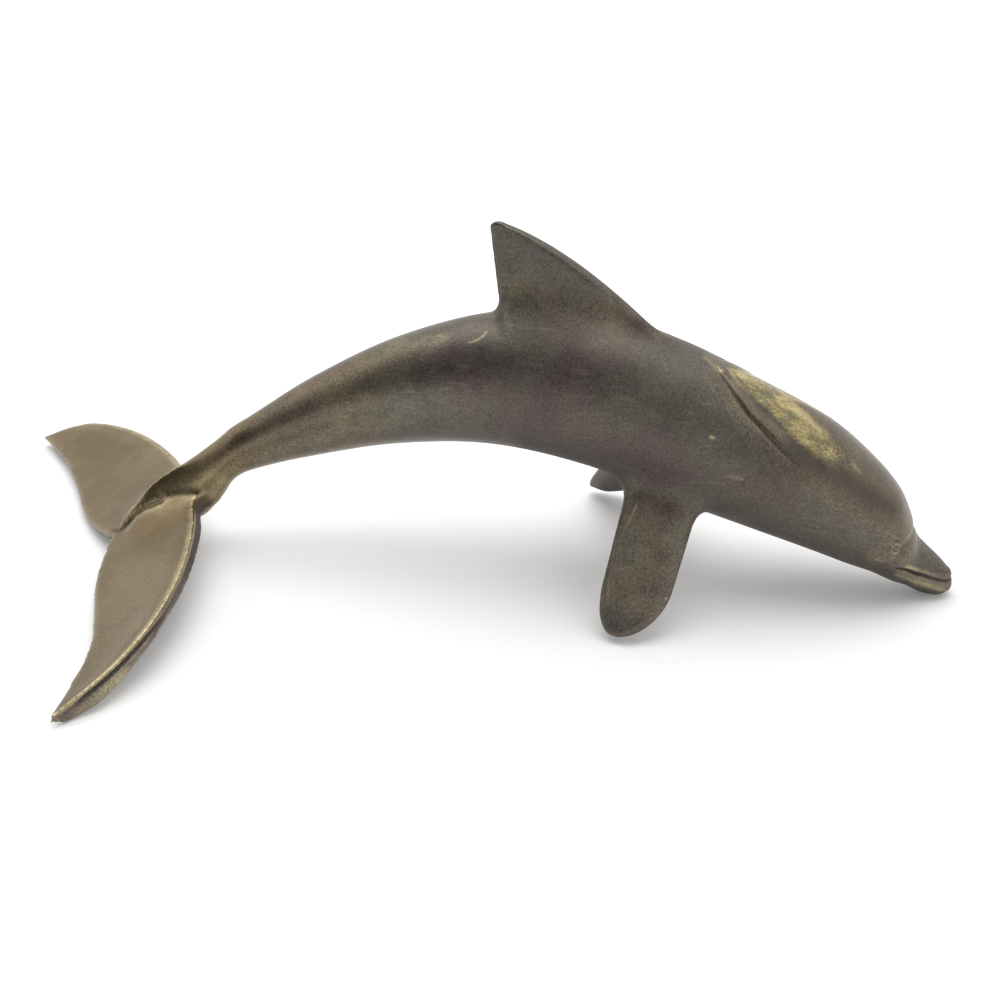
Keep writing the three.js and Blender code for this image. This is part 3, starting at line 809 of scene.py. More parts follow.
patinaSettings = {
    # the gold on the crown runs along this path, on both sides
    "goldPath": [(-46.6, 0, 46.9), (-40.8, 1.8, 43.8), (-35.7, 3.7, 40.8), (-32.5, 5.4, 38.4),
                 (-28.4, 6.8, 35.1), (-24.2, 7.6, 32.0), (-19, 7.4, 27.5)],
    "goldReach": 3.9, "goldFade": (0.45, 1), "goldRear": (-50, -46), "goldRim": 1.2,
    "goldStart": [(-47, 0.4), (-38, 2.6)],        # x, and how far above the joint it starts
    "capRubbed": 0.38, "capEdge": (-7, -1), "capRear": (-54, -50),      # how the rest of the crown is rubbed
    # the tail stock, rubbed a little in front and wholly at the flukes, and where it turns from dull to satin
    "stockRubbed": 0.4, "stockFrom": (-96, -122), "tailFrom": (-138, -162), "glossFrom": (-84, -110),
    # how much of the brown skin is left on the walls and the underside of the flukes, and where it starts
    "underside": 0.75, "undersideOut": (4, 9), "undersideBack": (-5, -2),
    # bright place under the tip of the right fluke
    "ground": 0.6, "groundAt": (54.5, 3.5), "groundDrop": (1.6, 2.4),
    # the rim along the leading edge, polished by fingers and painted brighter as a glint
    "rimWornAndPaintedGlint": 0.6, "rimAt": (0.5, 0.75), "rimDrop": (0.9, 0.4), "rimOut": (6, 12),
    # the line at the foot of the keel
    "keelFoot": 0.3, "keelFootHalfWidth": 0.45, "keelFootDrop": (0.9, 0.3), "keelFootEnd": (11, 7),
    # painted shade on the wall beside the keel
    "paintedWallShade": 0.8, "wallOut": (2.5, 4), "wallEnd": (40, 24), "wallBack": (-4, -2),
    # relief in millimetres that counts as fully worn or fully hollow
    "reliefTurns": 14, "edgeRelief": 0.10, "hollowRelief": 0.08,
    # soft stains of the oxide: x and z of the middle, reach along and up, and pull,
    # olive above nought and purple below
    "stains": [
        (-84, 66, 14, 9, 0.20), (-66, 43, 9, 7, 0.16), (-112, 38, 17, 8, 0.16), (-46, 36, 7, 9, 0.10),
        (-20, 22, 12, 8, -0.06), (-8, 8, 9, 7, 0.08), (-78, 41, 12, 10, -0.20), (-96, 47, 10, 5, -0.18),
        (-62, 33, 10, 8, -0.16), (-66, 54, 7, 6, -0.12), (-42, 26, 10, 6, -0.14), (-132, 33, 12, 5, 0.08),
        (-57, 49, 8, 6, 0.18),
    ],
}

# single marks on the patina, some of them painted light and painted shade: half width, strength, and path in
# the drawing frame
markEnd = 0.12          # share of its path over which a mark runs out at either end
bareMarksAndPaintedLight = [
    # beak, eye and head
    (0.7, 0.7, [(-9.7, -8.2, 9.9), (-7.4, -7.2, 8.9), (-4.6, -5.8, 7.4), (-1.2, -4.4, 5.8)]),      # upper lip
    (1.1, 0.6, [(-11.5, -7.9, 7.6), (-8.8, -7.3, 6.3), (-5.9, -5.9, 4.6), (-3.1, -4.7, 3.2), (1, -3, 2)]),
    (0.8, 0.3, [(-9.3, -7.2, 14.4), (-9.8, -8.2, 13.3), (-10.5, -8.8, 12.2)]),      # painted highlight along the fold of the melon
    (0.25, 0.5, [(-12.6, -9.2, 14.4), (-11.5, -9.1, 15.5), (-10.5, -9, 14.4), (-11.5, -9.3, 13.4),
                 (-12.6, -9.2, 14.3)]),      # ring of the eye
    (3.4, 0.15, [(-17.5, -9.6, 12), (-12, -9.2, 13.5), (-6, -8.6, 14.5)]),          # about the eye
    (0.35, 0.6, [(-15.4, -9.8, 11.9), (-13.3, -9.4, 11)]),
    # crown and neck
    (0.8, 0.8, [(-35.5, -2.4, 41.1), (-31.5, -3.5, 38.8), (-27.9, -4.8, 36.1)]),    # streak on the crown
    (0.5, 0.35, [(-22.2, -6.3, 31.4), (-19.8, -6.8, 29.2)]),
    (0.7, 0.9, [(-52.2, -0.8, 50.0), (-50, -2.1, 48.8), (-48, -3.3, 47.2)]),        # edge before the joint
    (0.4, 0.45, [(-46.7, -14, 30), (-42.2, -13.6, 29.3)]),                          # scratch on the neck
    (0.28, 1.0, [(-49.8, -12.9, 38.0), (-48.6, -12.9, 37.4)]),                      # nick
    # flipper
    (0.26, 0.7, [(-62.7, -12.4, 22.4), (-63.8, -14.5, 20), (-64.9, -16.5, 17.6)]),  # scratches
    (0.2, 0.5, [(-61.7, -12.3, 22.3), (-62.9, -14.2, 20.4), (-63.6, -15.7, 18.8)]),
    (0.28, 0.35, [(-64.5, -12.8, 21.3), (-66.4, -17.4, 15.6), (-66.8, -22.5, 11), (-67, -27.5, 6.5)]),
    (0.35, 0.8, [(-55.7, -25.5, 8.4), (-55.1, -26.1, 7.8)]),                        # nick in the front edge
    (2.6, 0.17, [(-52, -13.2, 21.2), (-58.5, -13, 21.5), (-65, -12, 21.8)]),        # painted light over its root, lifting the shade there
    (7, 0.17, [(-57, -12, 23), (-60, -18, 16), (-62, -30, 5)]),                     # painted light over its whole face
    # dorsal fin and the back behind it
    # painted light on the lower side of the fin, lifting its shade
    (3.6, 0.17, [(-93, -1, 61), (-89, -1, 60.6), (-81, -1.8, 59.3), (-73, -2.2, 57.4), (-65, -2.5, 55)]),
    (0.22, 0.75, [(-98.6, -6.9, 51.2), (-96.6, -6.5, 51.9), (-95.4, -6, 52.7), (-94.6, -5, 53.6)]),
    (0.2, 0.4, [(-105.6, -3.4, 51.1), (-102.5, -5, 51.1)]),
    # painted highlight, a light stripe along the upper flank of the stock
    (2.6, 0.14, [(-100, -5.4, 52), (-111, -3.8, 49), (-119, -4.2, 44.9), (-128, -4.7, 40), (-140, -6, 32)]),
    # keel, with a painted highlight: the lit strip along its side
    (1.4, 0.4, [(-158, -6.8, 20), (-162.9, -8.3, 18), (-167.1, -10, 14.9), (-172, -12, 8.4)]),
    (3.0, 0.36, [(-150, -9.5, 19), (-158, -10, 15.5), (-163.5, -11, 13.8), (-168, -12, 11), (-172, -13, 8)]),
    (3.0, 0.2, [(-156, -9, 18), (-153, -9, 12)]),
]
darkMarksAndPaintedShade = [
    # painted dark reflection band under the gold
    (2.5, 0.55, [(-37, -8.9, 38), (-32, -9.6, 34.6), (-26, -9.7, 31), (-19, -8.8, 26.6), (-10, -6, 20)]),
    (0.3, 0.7, [(-66.5, -11.5, 49), (-64.5, -10.5, 49.6)]),                         # arcs on the shoulder
    (0.28, 0.7, [(-62.9, -11.4, 48), (-61.2, -12, 46.6), (-60.4, -13, 44.6)]),
    (0.28, 0.6, [(-48.2, -11, 43), (-44.4, -11.6, 39.8)]),
    (0.5, 0.7, [(-50, -13, 39.5), (-45.4, -12.8, 38.8)]),
    # painted shade along the bevel of the flipper, and a pit in it
    (0.6, 0.5, [(-65.4, -12.8, 21.3), (-67.3, -17.4, 15.6), (-67.8, -22.5, 11), (-67.9, -28.5, 6)]),
    (0.5, 0.8, [(-64, -26.1, 8.4), (-63.4, -26.7, 7.8)]),
    # painted shade along the bevel of the dorsal fin
    (0.4, 0.35, [(-91.1, -1.1, 72.7), (-88, -1.3, 71.3), (-84, -1.5, 69.2), (-80, -1.7, 67),
                 (-76, -1.9, 64.1), (-72, -2.1, 61.3), (-68, -2.3, 58.5)]),
    (6.5, 0.36, [(-90, -9, 29), (-64, -9, 25)]),                                    # painted shade on the belly
]


def stainMap(drawn):
    olive = np.zeros(len(drawn))
    for x, z, along, up, pull in patinaSettings["stains"]:
        olive += pull * bump(np.hypot((drawn[:, 0] - x) / along, (drawn[:, 2] - z) / up), 0, 1)
    return olive


def markMap(drawn, marks):
    # the strongest mark at each place
    strongest = np.zeros(len(drawn))
    for halfWidth, strength, path in marks:
        gap, along = pathDistance(drawn, path)
        ends = smoothStep(0, markEnd, along) * smoothStep(1, 1 - markEnd, along)
        strongest = np.maximum(strongest, strength * bump(gap, 0, halfWidth) * ends)
    return strongest


def mapWear(skin):
    mesh = skin.data
    q = patinaSettings
    points, normals = meshPoints(mesh), meshNormals(mesh)
    drawn = toDrawing(points)

    # relief against an evened copy: what stands out is worn bright, what lies deep keeps its dirt
    evened = np.stack([evenValues(mesh, points[:, i], q["reliefTurns"]) for i in range(3)], axis=1)
    relief = ((points - evened) * normals).sum(axis=1) / mm
    keepMap(mesh, "edgeWear", np.clip(evenValues(mesh, relief, 2) / q["edgeRelief"], 0, 1))
    keepMap(mesh, "hollow", np.clip(-relief / q["hollowRelief"], 0, 1))

    # the crown and its gold
    above = aboveJoint(drawn)
    cap = smoothStep(*q["capEdge"], above) * smoothStep(*q["capRear"], drawn[:, 0])
    gap, along = pathDistance(sideOn(drawn), q["goldPath"])
    gold = bump(gap, 0, q["goldReach"]) * (1 - smoothStep(*q["goldFade"], along))
    places, starts = zip(*q["goldStart"])
    start = np.interp(drawn[:, 0], places, starts)
    inside = smoothStep(0, q["goldRim"], above - start)
    keepMap(mesh, "crown", inside * smoothStep(*q["goldRear"], drawn[:, 0]) * gold)

    # the stock and the flukes
    rubbed = q["stockRubbed"] * smoothStep(*q["stockFrom"], drawn[:, 0])
    rubbed += (1 - q["stockRubbed"]) * smoothStep(*q["tailFrom"], drawn[:, 0])
    # marks of bare metal and dark wear, with painted highlights, painted light and painted shade among them
    bare, dark = markMap(drawn, bareMarksAndPaintedLight), markMap(drawn, darkMarksAndPaintedShade)
    backward, side, lift = flukeCoordinates(drawn)
    keelBack, keelOut = zip(*flukeDetail["keelLine"])
    for sign in (-1, 1):
        lobe = (side * sign > 0) & (drawn[:, 0] < -146)
        outward = np.clip(side * sign, 0, flukeSettings["span"][sign])
        drop = flukeTop(sign, backward, outward) - lift
        onWall = smoothStep(*flukeDetail["topToWall"], drop)
        below = onWall * smoothStep(*q["undersideOut"], outward) * smoothStep(*q["undersideBack"], backward)
        rubbed = np.where(lobe, rubbed * (1 - q["underside"] * below), rubbed)
        ground = q["ground"] * bump(outward, *q["groundAt"]) * smoothStep(*q["groundDrop"], drop)
        footAt = np.interp(backward, keelBack, keelOut, left=-9, right=-9)
        foot = q["keelFoot"] * smoothStep(*q["keelFootDrop"], np.abs(drop))
        foot = foot * smoothStep(*q["keelFootEnd"], backward) * bump(outward, footAt, q["keelFootHalfWidth"])
        bare = np.where(lobe & (sign < 0), np.maximum(bare, np.maximum(ground, foot)), bare)
        behindEdge = backward - flukeEdges(sign, outward)[0]
        # the rim: polished wear, with a painted glint on it
        rim = q["rimWornAndPaintedGlint"] * bump(behindEdge, *q["rimAt"]) * smoothStep(*q["rimDrop"], drop)
        bare = np.where(lobe, np.maximum(bare, rim * smoothStep(*q["rimOut"], outward)), bare)
        # painted shade on the wall under the leading edge, beside the keel
        wall = q["paintedWallShade"] * onWall * smoothStep(*q["wallOut"], outward)
        wall = wall * smoothStep(*q["wallEnd"], outward) * smoothStep(*q["wallBack"], backward)
        dark = np.where(lobe, np.maximum(dark, wall), dark)
    keepMap(mesh, "rubbed", np.maximum(rubbed, q["capRubbed"] * cap))
    keepMap(mesh, "gloss", np.maximum(smoothStep(*q["glossFrom"], drawn[:, 0]), cap))
    keepMap(mesh, "olive", stainMap(drawn))
    keepMap(mesh, "bare", bare)
    keepMap(mesh, "dark", dark)
    layer = mesh.attributes.new("skinNormal", "FLOAT_VECTOR", "POINT")
    layer.data.foreach_set("vector", normals.astype(np.float32).ravel())


mapWear(skin)
print("wear mapped")

# Materials


def linear(hexColour):
    parts = [int(hexColour[i:i + 2], 16) / 255 for i in (1, 3, 5)]
    return [p / 12.92 if p <= 0.04045 else ((p + 0.055) / 1.055) ** 2.4 for p in parts] + [1.0]


def addNode(tree, kind, settings=None, links=None):
    # settings go to the node's own properties or to its sockets, links name what feeds a socket
    node = tree.nodes.new("ShaderNode" + kind)
    for key, value in (settings or {}).items():
        if isinstance(key, str) and hasattr(node, key):
            setattr(node, key, value)
        else:
            node.inputs[key].default_value = value
    for socket, source in (links or {}).items():
        tree.links.new(source.outputs[0] if hasattr(source, "outputs") else source, node.inputs[socket])
    return node


def colourStops(node, stops):
    ramp = node.color_ramp
    while len(ramp.elements) < len(stops):
        ramp.elements.new(0.5)
    for element, (position, colour) in zip(ramp.elements, stops):
        element.position, element.color = position, linear(colour)
    return node


# Patinated cast brass: sand cast, filed, then browned by years of handling and air. The oxide skin is
# satin and low in contrast, purple-brown in places and olive-grey in others, with the fine grain of the
# mould under it. On the crown and the tail, where it was filed and rubbed, the yellow metal comes through.
castBrassSkin = {
    "purple": "#5e5050", "brown": "#615a53", "olive": "#63635b",      # tones of the oxide
    "stainSize": 17, "stainPull": 0.44,      # millimetres; half the spread over which the tones part
    "cloudSize": 4.5, "cloud": 0.22,         # soft lighter and darker clouds
    "grainSize": 0.42, "grain": 0.75,        # mould sand, 0.2 mm in the metal, drawn coarser to show
    "fleckSize": 0.75, "fleck": 0.5, "fleckTone": "#9b8c6f",          # points of bare metal in the oxide
    "hairLength": 9, "hairWidth": 0.34, "hair": 0.3, "hairTone": "#8d8274",     # hairlines from handling
    "hairTurns": (24, -38),                  # degrees, the two ways that most of them run
    "worn": "#a3967f", "wornShare": 0.4,     # edges rubbed down to the metal
    "dirtAndPaintedShade": "#3f3731", "dirtShare": 0.6,     # what lies in the hollows, and the tone of the painted shade
    "bare": "#cdbd92",                       # fresh bare brass, also the tone of the painted highlights
    "satin": "#87765b", "satinDeep": "#776a50", "satinSize": 12,      # the rubbed tail
    "tailBreak": (0.62, 1.4), "crownBreak": (0.62, 1.05),             # how their borders break up
    "gold": "#b3a271", "goldPale": "#cdbf92", "goldDull": "#8d8260", "verdigris": "#75755a",
    "goldSize": 3.2, "fileSlope": 38,        # streaks that the file left down the crown, slope in degrees
    "roughness": 0.52, "satinRoughness": 0.34, "goldRoughness": 0.3, "roughnessPlay": 0.12,
    "wornGloss": 0.12, "dirtMatt": 0.4,      # worn edges are smoother, dirt and painted shade are duller and less metallic
    "metallic": 0.8,                         # the oxide scatters some of the light, bare metal is 1
    "bumpDepth": 0.035,                      # millimetres
}


def castBrass(name, s):
    material = bpy.data.materials.new(name)
    material.use_nodes = True
    material.node_tree.nodes.clear()
    add = partial(addNode, material.node_tree)
    place = add("TexCoord").outputs["Object"]
    maps = {key: add("Attribute", {"attribute_name": key}).outputs["Fac"]
            for key in ("edgeWear", "hollow", "crown", "rubbed", "gloss", "olive", "bare", "dark")}
    cloud = add("TexNoise", {"Scale": 1 / (s["cloudSize"] * mm), "Detail": 6.0, "Roughness": 0.62},
                {"Vector": place})
    grain = add("TexNoise", {"Scale": 1 / (s["grainSize"] * mm), "Detail": 2.0, "Roughness": 0.6},
                {"Vector": place})
    broken = add("Math", {"operation": "ADD"}, {0: cloud, 1: grain})      # runs about 1, breaks up borders

    # oxide, drawn towards purple or olive where the map says so
    stain = add("TexNoise", {"Scale": 1 / (s["stainSize"] * mm), "Detail": 4.0, "Roughness": 0.6},
                {"Vector": place})
    stain = add("Math", {"operation": "ADD"}, {0: stain, 1: maps["olive"]})
    stain = add("Math", {"operation": "MULTIPLY_ADD", 1: 0.3}, {0: broken, 2: stain})
    stain = add("MapRange", {"From Min": 0.8 - s["stainPull"], "From Max": 0.8 + s["stainPull"]},
                {"Value": stain})
    colour = colourStops(add("ValToRGB", links={"Fac": stain}),
                         [(0.1, s["purple"]), (0.5, s["brown"]), (0.9, s["olive"])])

    # the tail, rubbed to a warm satin
    tailShare = add("Math", {"operation": "MULTIPLY_ADD", 1: 0.5}, {0: broken, 2: maps["rubbed"]})
    tailShare = add("MapRange", {"interpolation_type": "SMOOTHSTEP", "From Min": s["tailBreak"][0],
                                 "From Max": s["tailBreak"][1]}, {"Value": tailShare})
    satin = add("TexNoise", {"Scale": 1 / (s["satinSize"] * mm), "Detail": 5.0, "Roughness": 0.6},
                {"Vector": place})
    satin = colourStops(add("ValToRGB", links={"Fac": satin}), [(0.32, s["satinDeep"]), (0.62, s["satin"])])
    colour = add("Mix", {"data_type": "RGBA"}, {0: tailShare, 6: colour, 7: satin}).outputs[2]

    # the crown, filed and polished: gold, with verdigris left in its low places
    crownShare = add("Math", {"operation": "MULTIPLY_ADD", 1: 0.45}, {0: broken, 2: maps["crown"]})
    crownShare = add("MapRange", {"interpolation_type": "SMOOTHSTEP", "From Min": s["crownBreak"][0],
                                  "From Max": s["crownBreak"][1]}, {"Value": crownShare})
    filed = add("Mapping", {"Rotation": (0, radians(-s["fileSlope"]), 0), "Scale": (0.4, 1, 1)},
                {"Vector": place})
    gold = add("TexNoise", {"Scale": 1 / (s["goldSize"] * mm), "Detail": 8.0, "Roughness": 0.62,
                            "Distortion": 0.2}, {"Vector": filed})
    gold = add("Math", {"operation": "MULTIPLY_ADD", 1: 0.2}, {0: grain, 2: gold})
    gold = colourStops(add("ValToRGB", links={"Fac": gold}), [
        (0.48, s["verdigris"]), (0.56, s["goldDull"]), (0.65, s["gold"]), (0.78, s["goldPale"])])
    colour = add("Mix", {"data_type": "RGBA"}, {0: crownShare, 6: colour, 7: gold}).outputs[2]

    # clouds and mould grain over all of it
    for share, pattern in ((s["cloud"], cloud), (s["grain"], grain)):
        colour = add("Mix", {"data_type": "RGBA", "blend_type": "OVERLAY", 0: share},
                     {6: colour, 7: pattern}).outputs[2]

    # points of bare metal, in some places only
    cells = add("TexVoronoi", {"Scale": 1 / (s["fleckSize"] * mm)}, {"Vector": place})
    chance = add("SeparateColor", links={"Color": cells.outputs["Color"]})
    fleck = add("MapRange", {"From Min": 0.34, "From Max": 0.12, "To Max": s["fleck"]}, {"Value": cells})
    chosen = add("MapRange", {"From Min": 0.7, "From Max": 0.95}, {"Value": chance})
    where = add("TexNoise", {"Scale": 1 / (2 * s["cloudSize"] * mm), "Detail": 3.0}, {"Vector": place})
    where = add("MapRange", {"From Min": 0.45, "From Max": 0.62}, {"Value": where})
    for share in (chosen, where):
        fleck = add("Math", {"operation": "MULTIPLY"}, {0: fleck, 1: share})

    # hairlines in two directions
    hairs = []
    for turn in s["hairTurns"]:
        turned = add("Mapping", {"Rotation": (0.3, radians(turn), 0.2),
                                 "Scale": (s["hairWidth"] / s["hairLength"], 1.0, 1.0)}, {"Vector": place})
        lines = add("TexNoise", {"Scale": 0.45 / (s["hairWidth"] * mm), "Detail": 0.0}, {"Vector": turned})
        hairs.append(add("MapRange", {"From Min": 0.7, "From Max": 0.77, "To Max": s["hair"]},
                         {"Value": lines}))
    hair = add("Math", {"operation": "MAXIMUM"}, {0: hairs[0], 1: hairs[1]})
    hair = add("Math", {"operation": "MULTIPLY"}, {0: hair, 1: where})

    # edges worn bright, hollows left dark, and the listed marks, painted light and shade among them
    patchy = add("MapRange", {"From Min": 0.8, "From Max": 1.15, "To Min": 0.35}, {"Value": broken})
    worn = add("Math", {"operation": "MULTIPLY"}, {0: maps["edgeWear"], 1: patchy})
    worn = add("Math", {"operation": "MULTIPLY", 1: s["wornShare"]}, {0: worn})
    dirtAndPaintedShade = add("Math", {"operation": "MULTIPLY", 1: s["dirtShare"]}, {0: maps["hollow"]})
    # the dark marks bring painted shade in with the dirt
    dirtAndPaintedShade = add("Math", {"operation": "MAXIMUM"}, {0: dirtAndPaintedShade, 1: maps["dark"]})
    bare = add("Math", {"operation": "MULTIPLY"}, {0: maps["bare"], 1: patchy})

    # each of them goes over the one before
    covers = {"fleckTone": fleck, "hairTone": hair, "worn": worn, "dirtAndPaintedShade": dirtAndPaintedShade, "bare": bare}
    for tone, share in covers.items():
        colour = add("Mix", {"data_type": "RGBA", 7: linear(s[tone])}, {0: share, 6: colour}).outputs[2]

    # satin on the tail and the crown, smoothest on the gold
    rough = add("Math", {"operation": "MULTIPLY_ADD", 1: s["satinRoughness"] - s["roughness"],
                         2: s["roughness"]}, {0: maps["gloss"]})
    rough = add("Math", {"operation": "MULTIPLY_ADD", 1: s["goldRoughness"] - s["satinRoughness"]},
                {0: crownShare, 2: rough})
    play = add("MapRange", {"From Min": 0.7, "From Max": 1.3, "To Min": -s["roughnessPlay"] / 2,
                            "To Max": s["roughnessPlay"] / 2}, {"Value": broken})
    rough = add("Math", {"operation": "ADD"}, {0: rough, 1: play})
    rough = add("Math", {"operation": "MULTIPLY_ADD", 1: -s["wornGloss"]}, {0: worn, 2: rough})
    rough = add("Math", {"operation": "MULTIPLY_ADD", 1: s["dirtMatt"], "use_clamp": True},
                {0: dirtAndPaintedShade, 2: rough})
    metal = add("Math", {"operation": "ADD", "use_clamp": True}, {0: tailShare, 1: crownShare})
    metal = add("MapRange", {"To Min": s["metallic"], "To Max": 1.0}, {"Value": metal})
    metal = add("Math", {"operation": "MULTIPLY_ADD", 1: -s["dirtMatt"], "use_clamp": True},
                {0: dirtAndPaintedShade, 2: metal})
    height = add("Math", {"operation": "MULTIPLY_ADD", 1: 1.4}, {0: cloud, 2: grain})
    height = add("Math", {"operation": "MULTIPLY_ADD", 1: -0.5}, {0: hair, 2: height})
    relief = add("Bump", {"Distance": s["bumpDepth"] * mm}, {"Height": height})
    shader = add("BsdfPrincipled", {}, {"Base Color": colour, "Roughness": rough, "Metallic": metal,
                                        "Normal": relief})
    add("OutputMaterial", {}, {"Surface": shader})
    return material


bodyBrass = castBrass("patinatedCastBrass", castBrassSkin)
crownBrass = castBrass("filedCastBrass", {**castBrassSkin, "grain": 0.55})
finBrass = castBrass("patinatedPlateBrass", {**castBrassSkin, "stainSize": 12, "grain": 0.9,
                                             "wornShare": 0.1})
flukeBrass = castBrass("satinCastBrass", {**castBrassSkin, "hair": 0.4, "wornShare": 0.7, "grain": 0.35,
                                              "dirtShare": 0.35})

# Drawn brass rod: pulled through a die and cut off, which leaves it bright, with fine lines along it
drawnRodFinish = {
    "tone": "#c9b06a", "toneDull": "#a8925a", "lineWidth": 0.12, "lineLength": 6, "dullSize": 1.6,
    "roughness": (0.22, 0.42), "bumpDepth": 0.01,
}


def drawnRod(name, s, along):
    # along: 0, 1 or 2, the axis that the rod lies on
    material = bpy.data.materials.new(name)
    material.use_nodes = True
    material.node_tree.nodes.clear()
    add = partial(addNode, material.node_tree)
    place = add("TexCoord").outputs["Object"]
    stretch = [1.0, 1.0, 1.0]
    stretch[along] = s["lineWidth"] / s["lineLength"]
    drawn = add("Mapping", {"Scale": stretch}, {"Vector": place})
    lines = add("TexNoise", {"Scale": 1 / (s["lineWidth"] * mm), "Detail": 2.0}, {"Vector": drawn})
    dull = add("TexNoise", {"Scale": 1 / (s["dullSize"] * mm), "Detail": 4.0}, {"Vector": place})
    both = add("Math", {"operation": "MULTIPLY_ADD", 1: 0.5}, {0: lines, 2: dull})
    tone = colourStops(add("ValToRGB", links={"Fac": both}), [(0.6, s["toneDull"]), (0.85, s["tone"])])
    rough = add("MapRange", {"From Min": 0.55, "From Max": 0.95, "To Min": s["roughness"][1],
                             "To Max": s["roughness"][0]}, {"Value": both})
    relief = add("Bump", {"Distance": s["bumpDepth"] * mm}, {"Height": lines})
    shader = add("BsdfPrincipled", {"Metallic": 1.0},
                 {"Base Color": tone, "Roughness": rough, "Normal": relief})
    add("OutputMaterial", {}, {"Surface": shader})
    return material


dowelRod = drawnRod("drawnBrassRod", drawnRodFinish, 1)
pinRod = drawnRod("drawnBrassPin", drawnRodFinish, 1)
rods = {"front_dowel": dowelRod, "middle_dowel": dowelRod, "rear_dowel": dowelRod, "tail_pin": pinRod}
for node, rod in rods.items():
    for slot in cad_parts[node].material_slots:
        slot.material = rod

# The castings, cut apart along their joints


def cutAway(work, field):
    # the part of a closed mesh where field is above nought leaves it as a closed mesh of its own
    place = work.verts.layers.float_vector["place"]
    values = field(np.array([v.co for v in work.verts]))
    for vertex, value in zip(work.verts, values):
        vertex[place] = vertex.co
        vertex.co.z = value
    bmesh.ops.bisect_plane(work, geom=work.verts[:] + work.edges[:] + work.faces[:], dist=1e-7,
                           plane_co=(0, 0, 0), plane_no=(0, 0, 1))
    level = {v: v.co.z for v in work.verts}
    for vertex in work.verts:
        vertex.co = vertex[place]
    work.faces.index_update()
    above = [f for f in work.faces if sum(level[v] for v in f.verts) > 0]
    chosen = {f.index for f in above}
    away = work.copy()
    bmesh.ops.delete(away, geom=[f for f in away.faces if f.index not in chosen], context="FACES")
    bmesh.ops.delete(work, geom=above, context="FACES")
    for part in (away, work):
        border = [e for e in part.edges if e.is_boundary]
        for face in bmesh.ops.holes_fill(part, edges=border, sides=0)["faces"]:
            face[part.faces.layers.int["inner"]] = 1
        bmesh.ops.delete(part, geom=[v for v in part.verts if not v.link_faces], context="VERTS")
    return away


def region(field, low, high):
    # a field that counts only inside a box of the drawing frame
    def limited(points):
        drawn = toDrawing(points)
        inside = np.all((drawn > low) & (drawn < high), axis=1)
        return np.where(inside, field(drawn), -1.0)
    return limited


def jointOfTail(drawn):
    back = bodySettings["bodyEnd"]
    heading = float(headingAt(back))
    aside = drawn[:, 1] - float(swingAt(back))
    return -((drawn[:, 0] + back) * np.cos(heading) + aside * -np.sin(heading))


def outOfBody(drawn):
    return heightOverBody(drawn) - cutSettings["limbStart"]


def middleSheet(drawn):
    return drawn[:, 1] - swingAt(-drawn[:, 0])


def finished(work, name, material, node):
    mesh = bpy.data.meshes.new(name)
    work.to_mesh(mesh)
    work.free()
    piece = bpy.data.objects.new(name, mesh)
    scene.collection.objects.link(piece)
    normals = np.empty(len(mesh.vertices) * 3, np.float32)
    mesh.attributes["skinNormal"].data.foreach_get("vector", normals)
    normals = normals.reshape(-1, 3)
    inner = np.empty(len(mesh.polygons), np.int32)
    mesh.attributes["inner"].data.foreach_get("value", inner)
    corners = np.empty(len(mesh.loops), np.int32)
    mesh.loops.foreach_get("vertex_index", corners)
    loopNormals = normals[corners]
    for polygon in mesh.polygons:
        polygon.use_smooth = True
        if inner[polygon.index]:
            loopNormals[polygon.loop_start:polygon.loop_start + polygon.loop_total] = polygon.normal
    mesh.normals_split_custom_set(loopNormals.tolist())
    for layer in ("skinNormal", "place"):
        mesh.attributes.remove(mesh.attributes[layer])
    mesh.materials.append(material)
    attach(piece, "root")
    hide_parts(node)
    return piece


cutSettings = {
    "limbStart": 0.7,       # the joint of each limb lies this far out of the plain body
    # boxes in the drawing frame that hold one limb each
    "fin": ((-102, -9, 44), (-56, 9, 80)),
    "rightFlipper": ((-84, -50, -5), (-42, -6, 30)),
    "leftFlipper": ((-98, 6, -5), (-42, 50, 30)),
}
work = bmesh.new()
work.from_mesh(skin.data)
work.verts.layers.float_vector.new("place")
work.faces.layers.int.new("inner")
fin = cutAway(work, region(outOfBody, *cutSettings["fin"]))
rightFlipper = cutAway(work, region(outOfBody, *cutSettings["rightFlipper"]))
leftFlipper = cutAway(work, region(outOfBody, *cutSettings["leftFlipper"]))
flukes = cutAway(work, lambda points: jointOfTail(toDrawing(points)))
crown = cutAway(work, lambda points: aboveJoint(toDrawing(points)))
leftBody = cutAway(work, lambda points: middleSheet(toDrawing(points)))
pieces = [
    finished(work, "rightBodyHalf", bodyBrass, "right_body_half"),
    finished(leftBody, "leftBodyHalf", bodyBrass, "left_body_half"),
    finished(crown, "crownCap", crownBrass, "crown_cap"),
    finished(fin, "dorsalFin", finBrass, "dorsal_fin"),
    finished(rightFlipper, "rightFlipper", finBrass, "right_flipper"),
    finished(leftFlipper, "leftFlipper", finBrass, "left_flipper"),
    finished(flukes, "tailFlukes", flukeBrass, "tail_flukes"),
]
bpy.data.objects.remove(skin)
for piece in pieces:
    print(piece.name, len(piece.data.polygons))

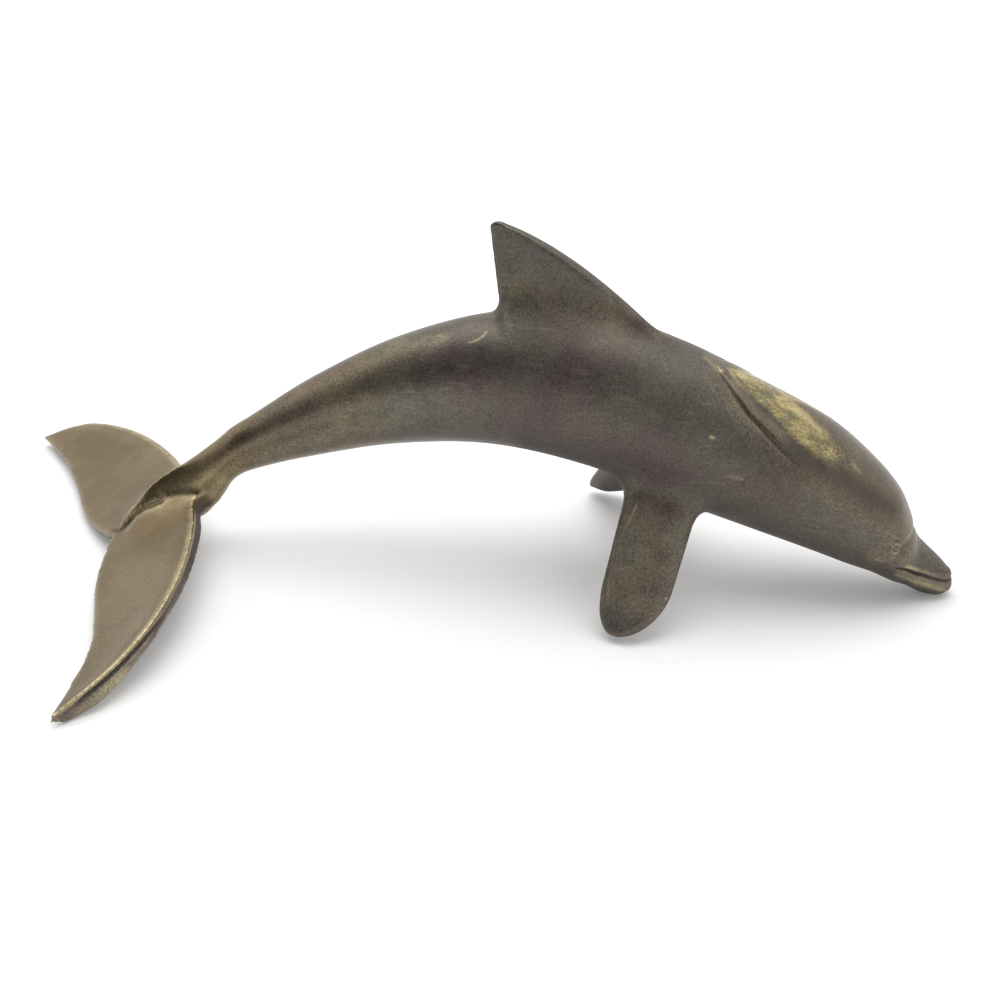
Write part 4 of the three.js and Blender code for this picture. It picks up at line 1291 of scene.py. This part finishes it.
# Floor and light
stageSettings = {
    "floorSize": 6.0, "floorColour": "#fafafa", "floorRoughness": 0.9,
    "paperGlow": 0.1,       # added for the camera and for reflections, so that the table reads white
    "sky": 1.0,             # strength of the white room
    # the side of the room behind the camera is darker, which gives the satin metal its dark band
    "darkSide": (-0.25, -0.80, 0.55), "darkStart": 0.62, "darkFull": 0.93, "darkLevel": 0.03,
    "lampSize": 1.3, "lampHeight": 1.2, "lampAside": (-0.15, 0.25), "lampPower": 7.0,
}
half = stageSettings["floorSize"] / 2
floor = newMeshObject("paleTable", [(-half, -half, 0), (half, -half, 0), (half, half, 0), (-half, half, 0)],
                      [(0, 1, 2, 3)])
floorMaterial = bpy.data.materials.new("whiteTableTop")
floorMaterial.use_nodes = True
floorMaterial.node_tree.nodes.clear()
add = partial(addNode, floorMaterial.node_tree)
paper = add("BsdfPrincipled", {"Base Color": linear(stageSettings["floorColour"]),
                               "Roughness": stageSettings["floorRoughness"], "Specular IOR Level": 0.0,
                               "Emission Color": (1, 1, 1, 1)})
rays = add("LightPath")
seen = add("Math", {"operation": "MAXIMUM"},
           {0: rays.outputs["Is Camera Ray"], 1: rays.outputs["Is Glossy Ray"]})
glow = add("Math", {"operation": "MULTIPLY", 1: stageSettings["paperGlow"]}, {0: seen})
paper.id_data.links.new(glow.outputs[0], paper.inputs["Emission Strength"])
add("OutputMaterial", {}, {"Surface": paper})
floor.data.materials.append(floorMaterial)

world = bpy.data.worlds.new("studio")
scene.world = world
world.use_nodes = True
world.node_tree.nodes.clear()
add = partial(addNode, world.node_tree)
towards = Vector(stageSettings["darkSide"]).normalized()
facing = add("VectorMath", {"operation": "DOT_PRODUCT", 1: towards},
             {0: add("TexCoord").outputs["Generated"]})
level = add("MapRange", {"interpolation_type": "SMOOTHSTEP", "From Min": stageSettings["darkStart"],
                         "From Max": stageSettings["darkFull"], "To Min": stageSettings["sky"],
                         "To Max": stageSettings["darkLevel"]}, {"Value": facing.outputs["Value"]})
room = add("Background", {"Color": (1, 1, 1, 1)}, {"Strength": level})
backdrop = add("Background", {"Color": (1, 1, 1, 1), "Strength": 1.0})
seen = add("LightPath").outputs["Is Camera Ray"]
both = add("MixShader", {}, {0: seen, 1: room, 2: backdrop})
add("OutputWorld", {}, {"Surface": both})

lampData = bpy.data.lights.new("softbox", "AREA")
lampData.shape = "DISK"
lampData.size = stageSettings["lampSize"]
lampData.energy = stageSettings["lampPower"]
lamp = bpy.data.objects.new("softbox", lampData)
lamp.location = (*stageSettings["lampAside"], stageSettings["lampHeight"])
lamp.rotation_euler = (-lamp.location).to_track_quat("-Z", "Y").to_euler()
scene.collection.objects.link(lamp)
print("stage set")
